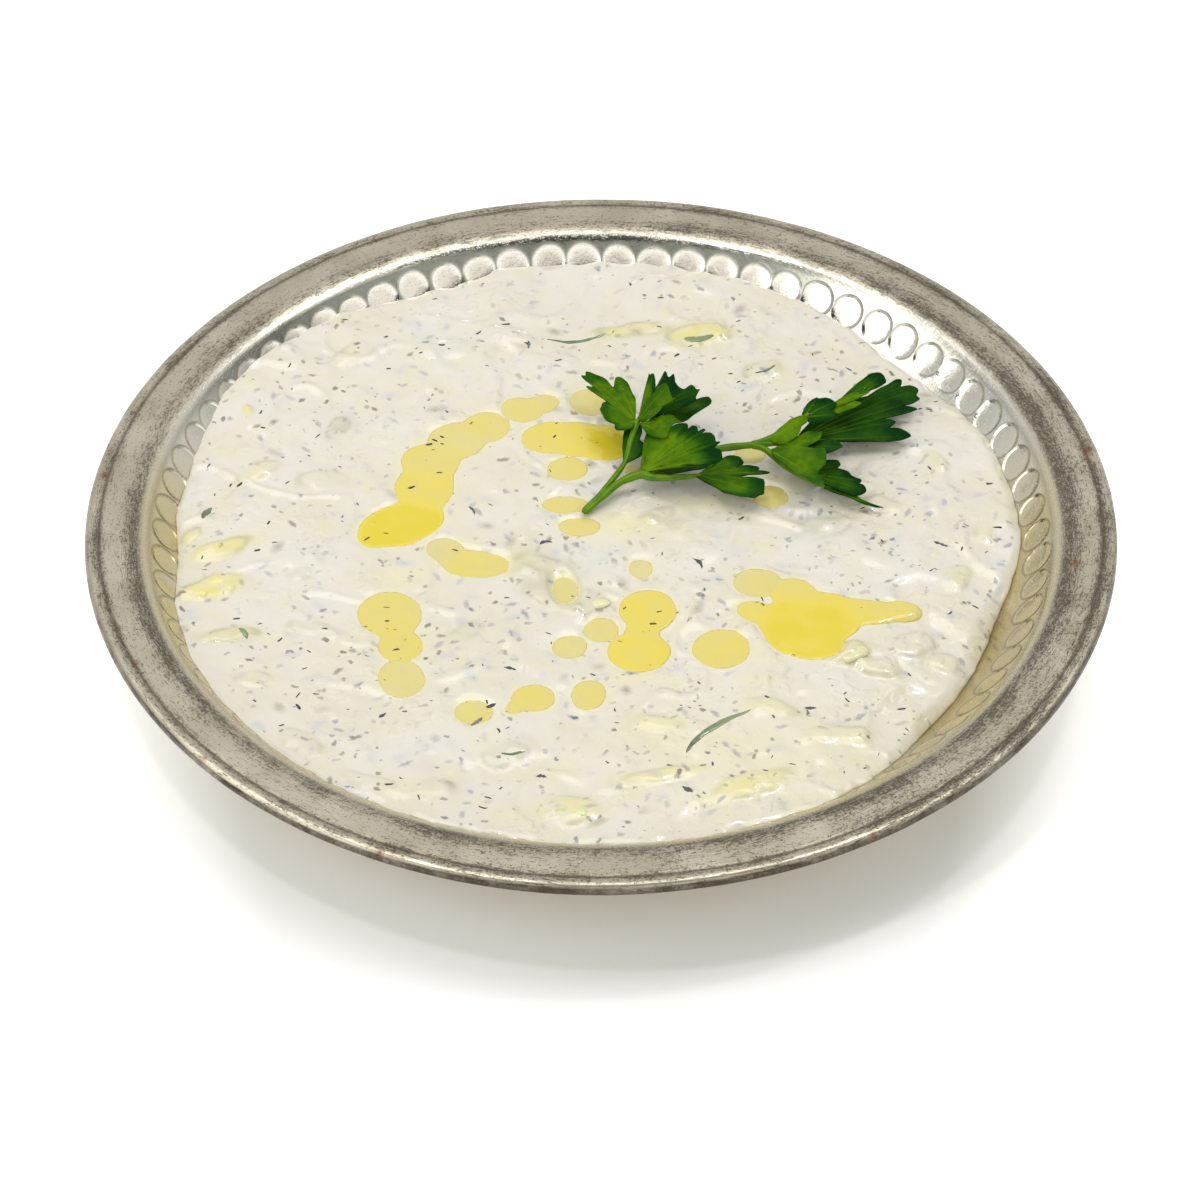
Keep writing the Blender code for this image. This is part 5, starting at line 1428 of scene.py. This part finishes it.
def make_studio(groups):
    """Floor, lights, world and camera."""
    size = 3.0
    mesh = bpy.data.meshes.new("floor")
    mesh.from_pydata([(-size, -size, 0), (size, -size, 0), (size, size, 0), (-size, size, 0)], [], [(0, 1, 2, 3)])
    mesh.materials.append(floor_finish(groups))
    floor = bpy.data.objects.new("floor", mesh)
    bpy.context.scene.collection.objects.link(floor)
    for name, place, target, (width, depth), watts, colour in LIGHTS:
        light = bpy.data.lights.new(name, "AREA")
        light.shape, light.size, light.size_y = "RECTANGLE", width, depth
        light.energy, light.color = watts, colour
        lamp = bpy.data.objects.new(name, light)
        lamp.location = place
        lamp.rotation_mode = "QUATERNION"
        lamp.rotation_quaternion = (Vector(target) - Vector(place)).to_track_quat("-Z", "Y")
        bpy.context.scene.collection.objects.link(lamp)
    world = bpy.data.worlds.new("studio")
    bpy.context.scene.world = world
    world.use_nodes = True
    tree = Tree(world.node_tree)
    way = tree.add("ShaderNodeTexCoord").outputs["Generated"]
    toward = tree.add("ShaderNodeSeparateXYZ", {0: way}).outputs
    front = tree.spread(toward["Y"], -0.25, 0.05, 1.0, 0.0)
    arc = tree.math("MULTIPLY", tree.spread(toward["Z"], 0.10, 0.25), tree.spread(toward["Z"], 0.80, 0.86, 1.0, 0.0))
    gap = tree.math("MULTIPLY", tree.spread(toward["Z"], 0.82, 0.88), tree.spread(toward["Y"], -0.12, 0.02, 1.0, 0.0))
    back = tree.spread(toward["Y"], 0.1, 0.5)
    glow = tree.math("ADD", 0.58, tree.math("MULTIPLY", back, 0.24))
    glow = tree.math("ADD", glow, tree.math("MULTIPLY", tree.math("MULTIPLY", arc, front), 0.90))
    glow = tree.math("MULTIPLY", glow, tree.spread(gap, 0, 1, 1.0, 0.12))
    background = world.node_tree.nodes["Background"]
    background.inputs["Color"].default_value = (1, 1, 1, 1)
    tree.tree.links.new(glow, background.inputs["Strength"])
    camera_data = bpy.data.cameras.new("camera")
    camera_data.lens, camera_data.sensor_width = CAMERA_LENS, 36.0
    camera_data.clip_start, camera_data.clip_end = 0.05, 20.0
    camera = bpy.data.objects.new("camera", camera_data)
    back = Vector((0, -math.cos(CAMERA_ELEVATION), math.sin(CAMERA_ELEVATION)))
    camera.location = CAMERA_TARGET + back * CAMERA_DISTANCE
    camera.rotation_mode = "QUATERNION"
    camera.rotation_quaternion = (-back).to_track_quat("-Z", "Y")
    bpy.context.scene.collection.objects.link(camera)
    bpy.context.scene.camera = camera
    bpy.context.scene.view_settings.view_transform = "Standard"


groups = {"specks": make_speckle_group(), "grain": make_grain_group(), "drift": make_drift_group(),
          "scatter": make_scatter_group()}
make_studio(groups)
make_dish(tin_finish(groups))
make_dip(dip_finish(groups))
make_oil(oil_finish(groups))
make_chunks(cucumber_finish(groups))
make_skins(skin_finish(groups))
herbs = herb_finish(groups)
make_flecks(herbs)
make_shreds(herbs)
make_leaves(leaf_finish(groups))
make_stems(stem_finish(groups))
make_drops(water_finish())
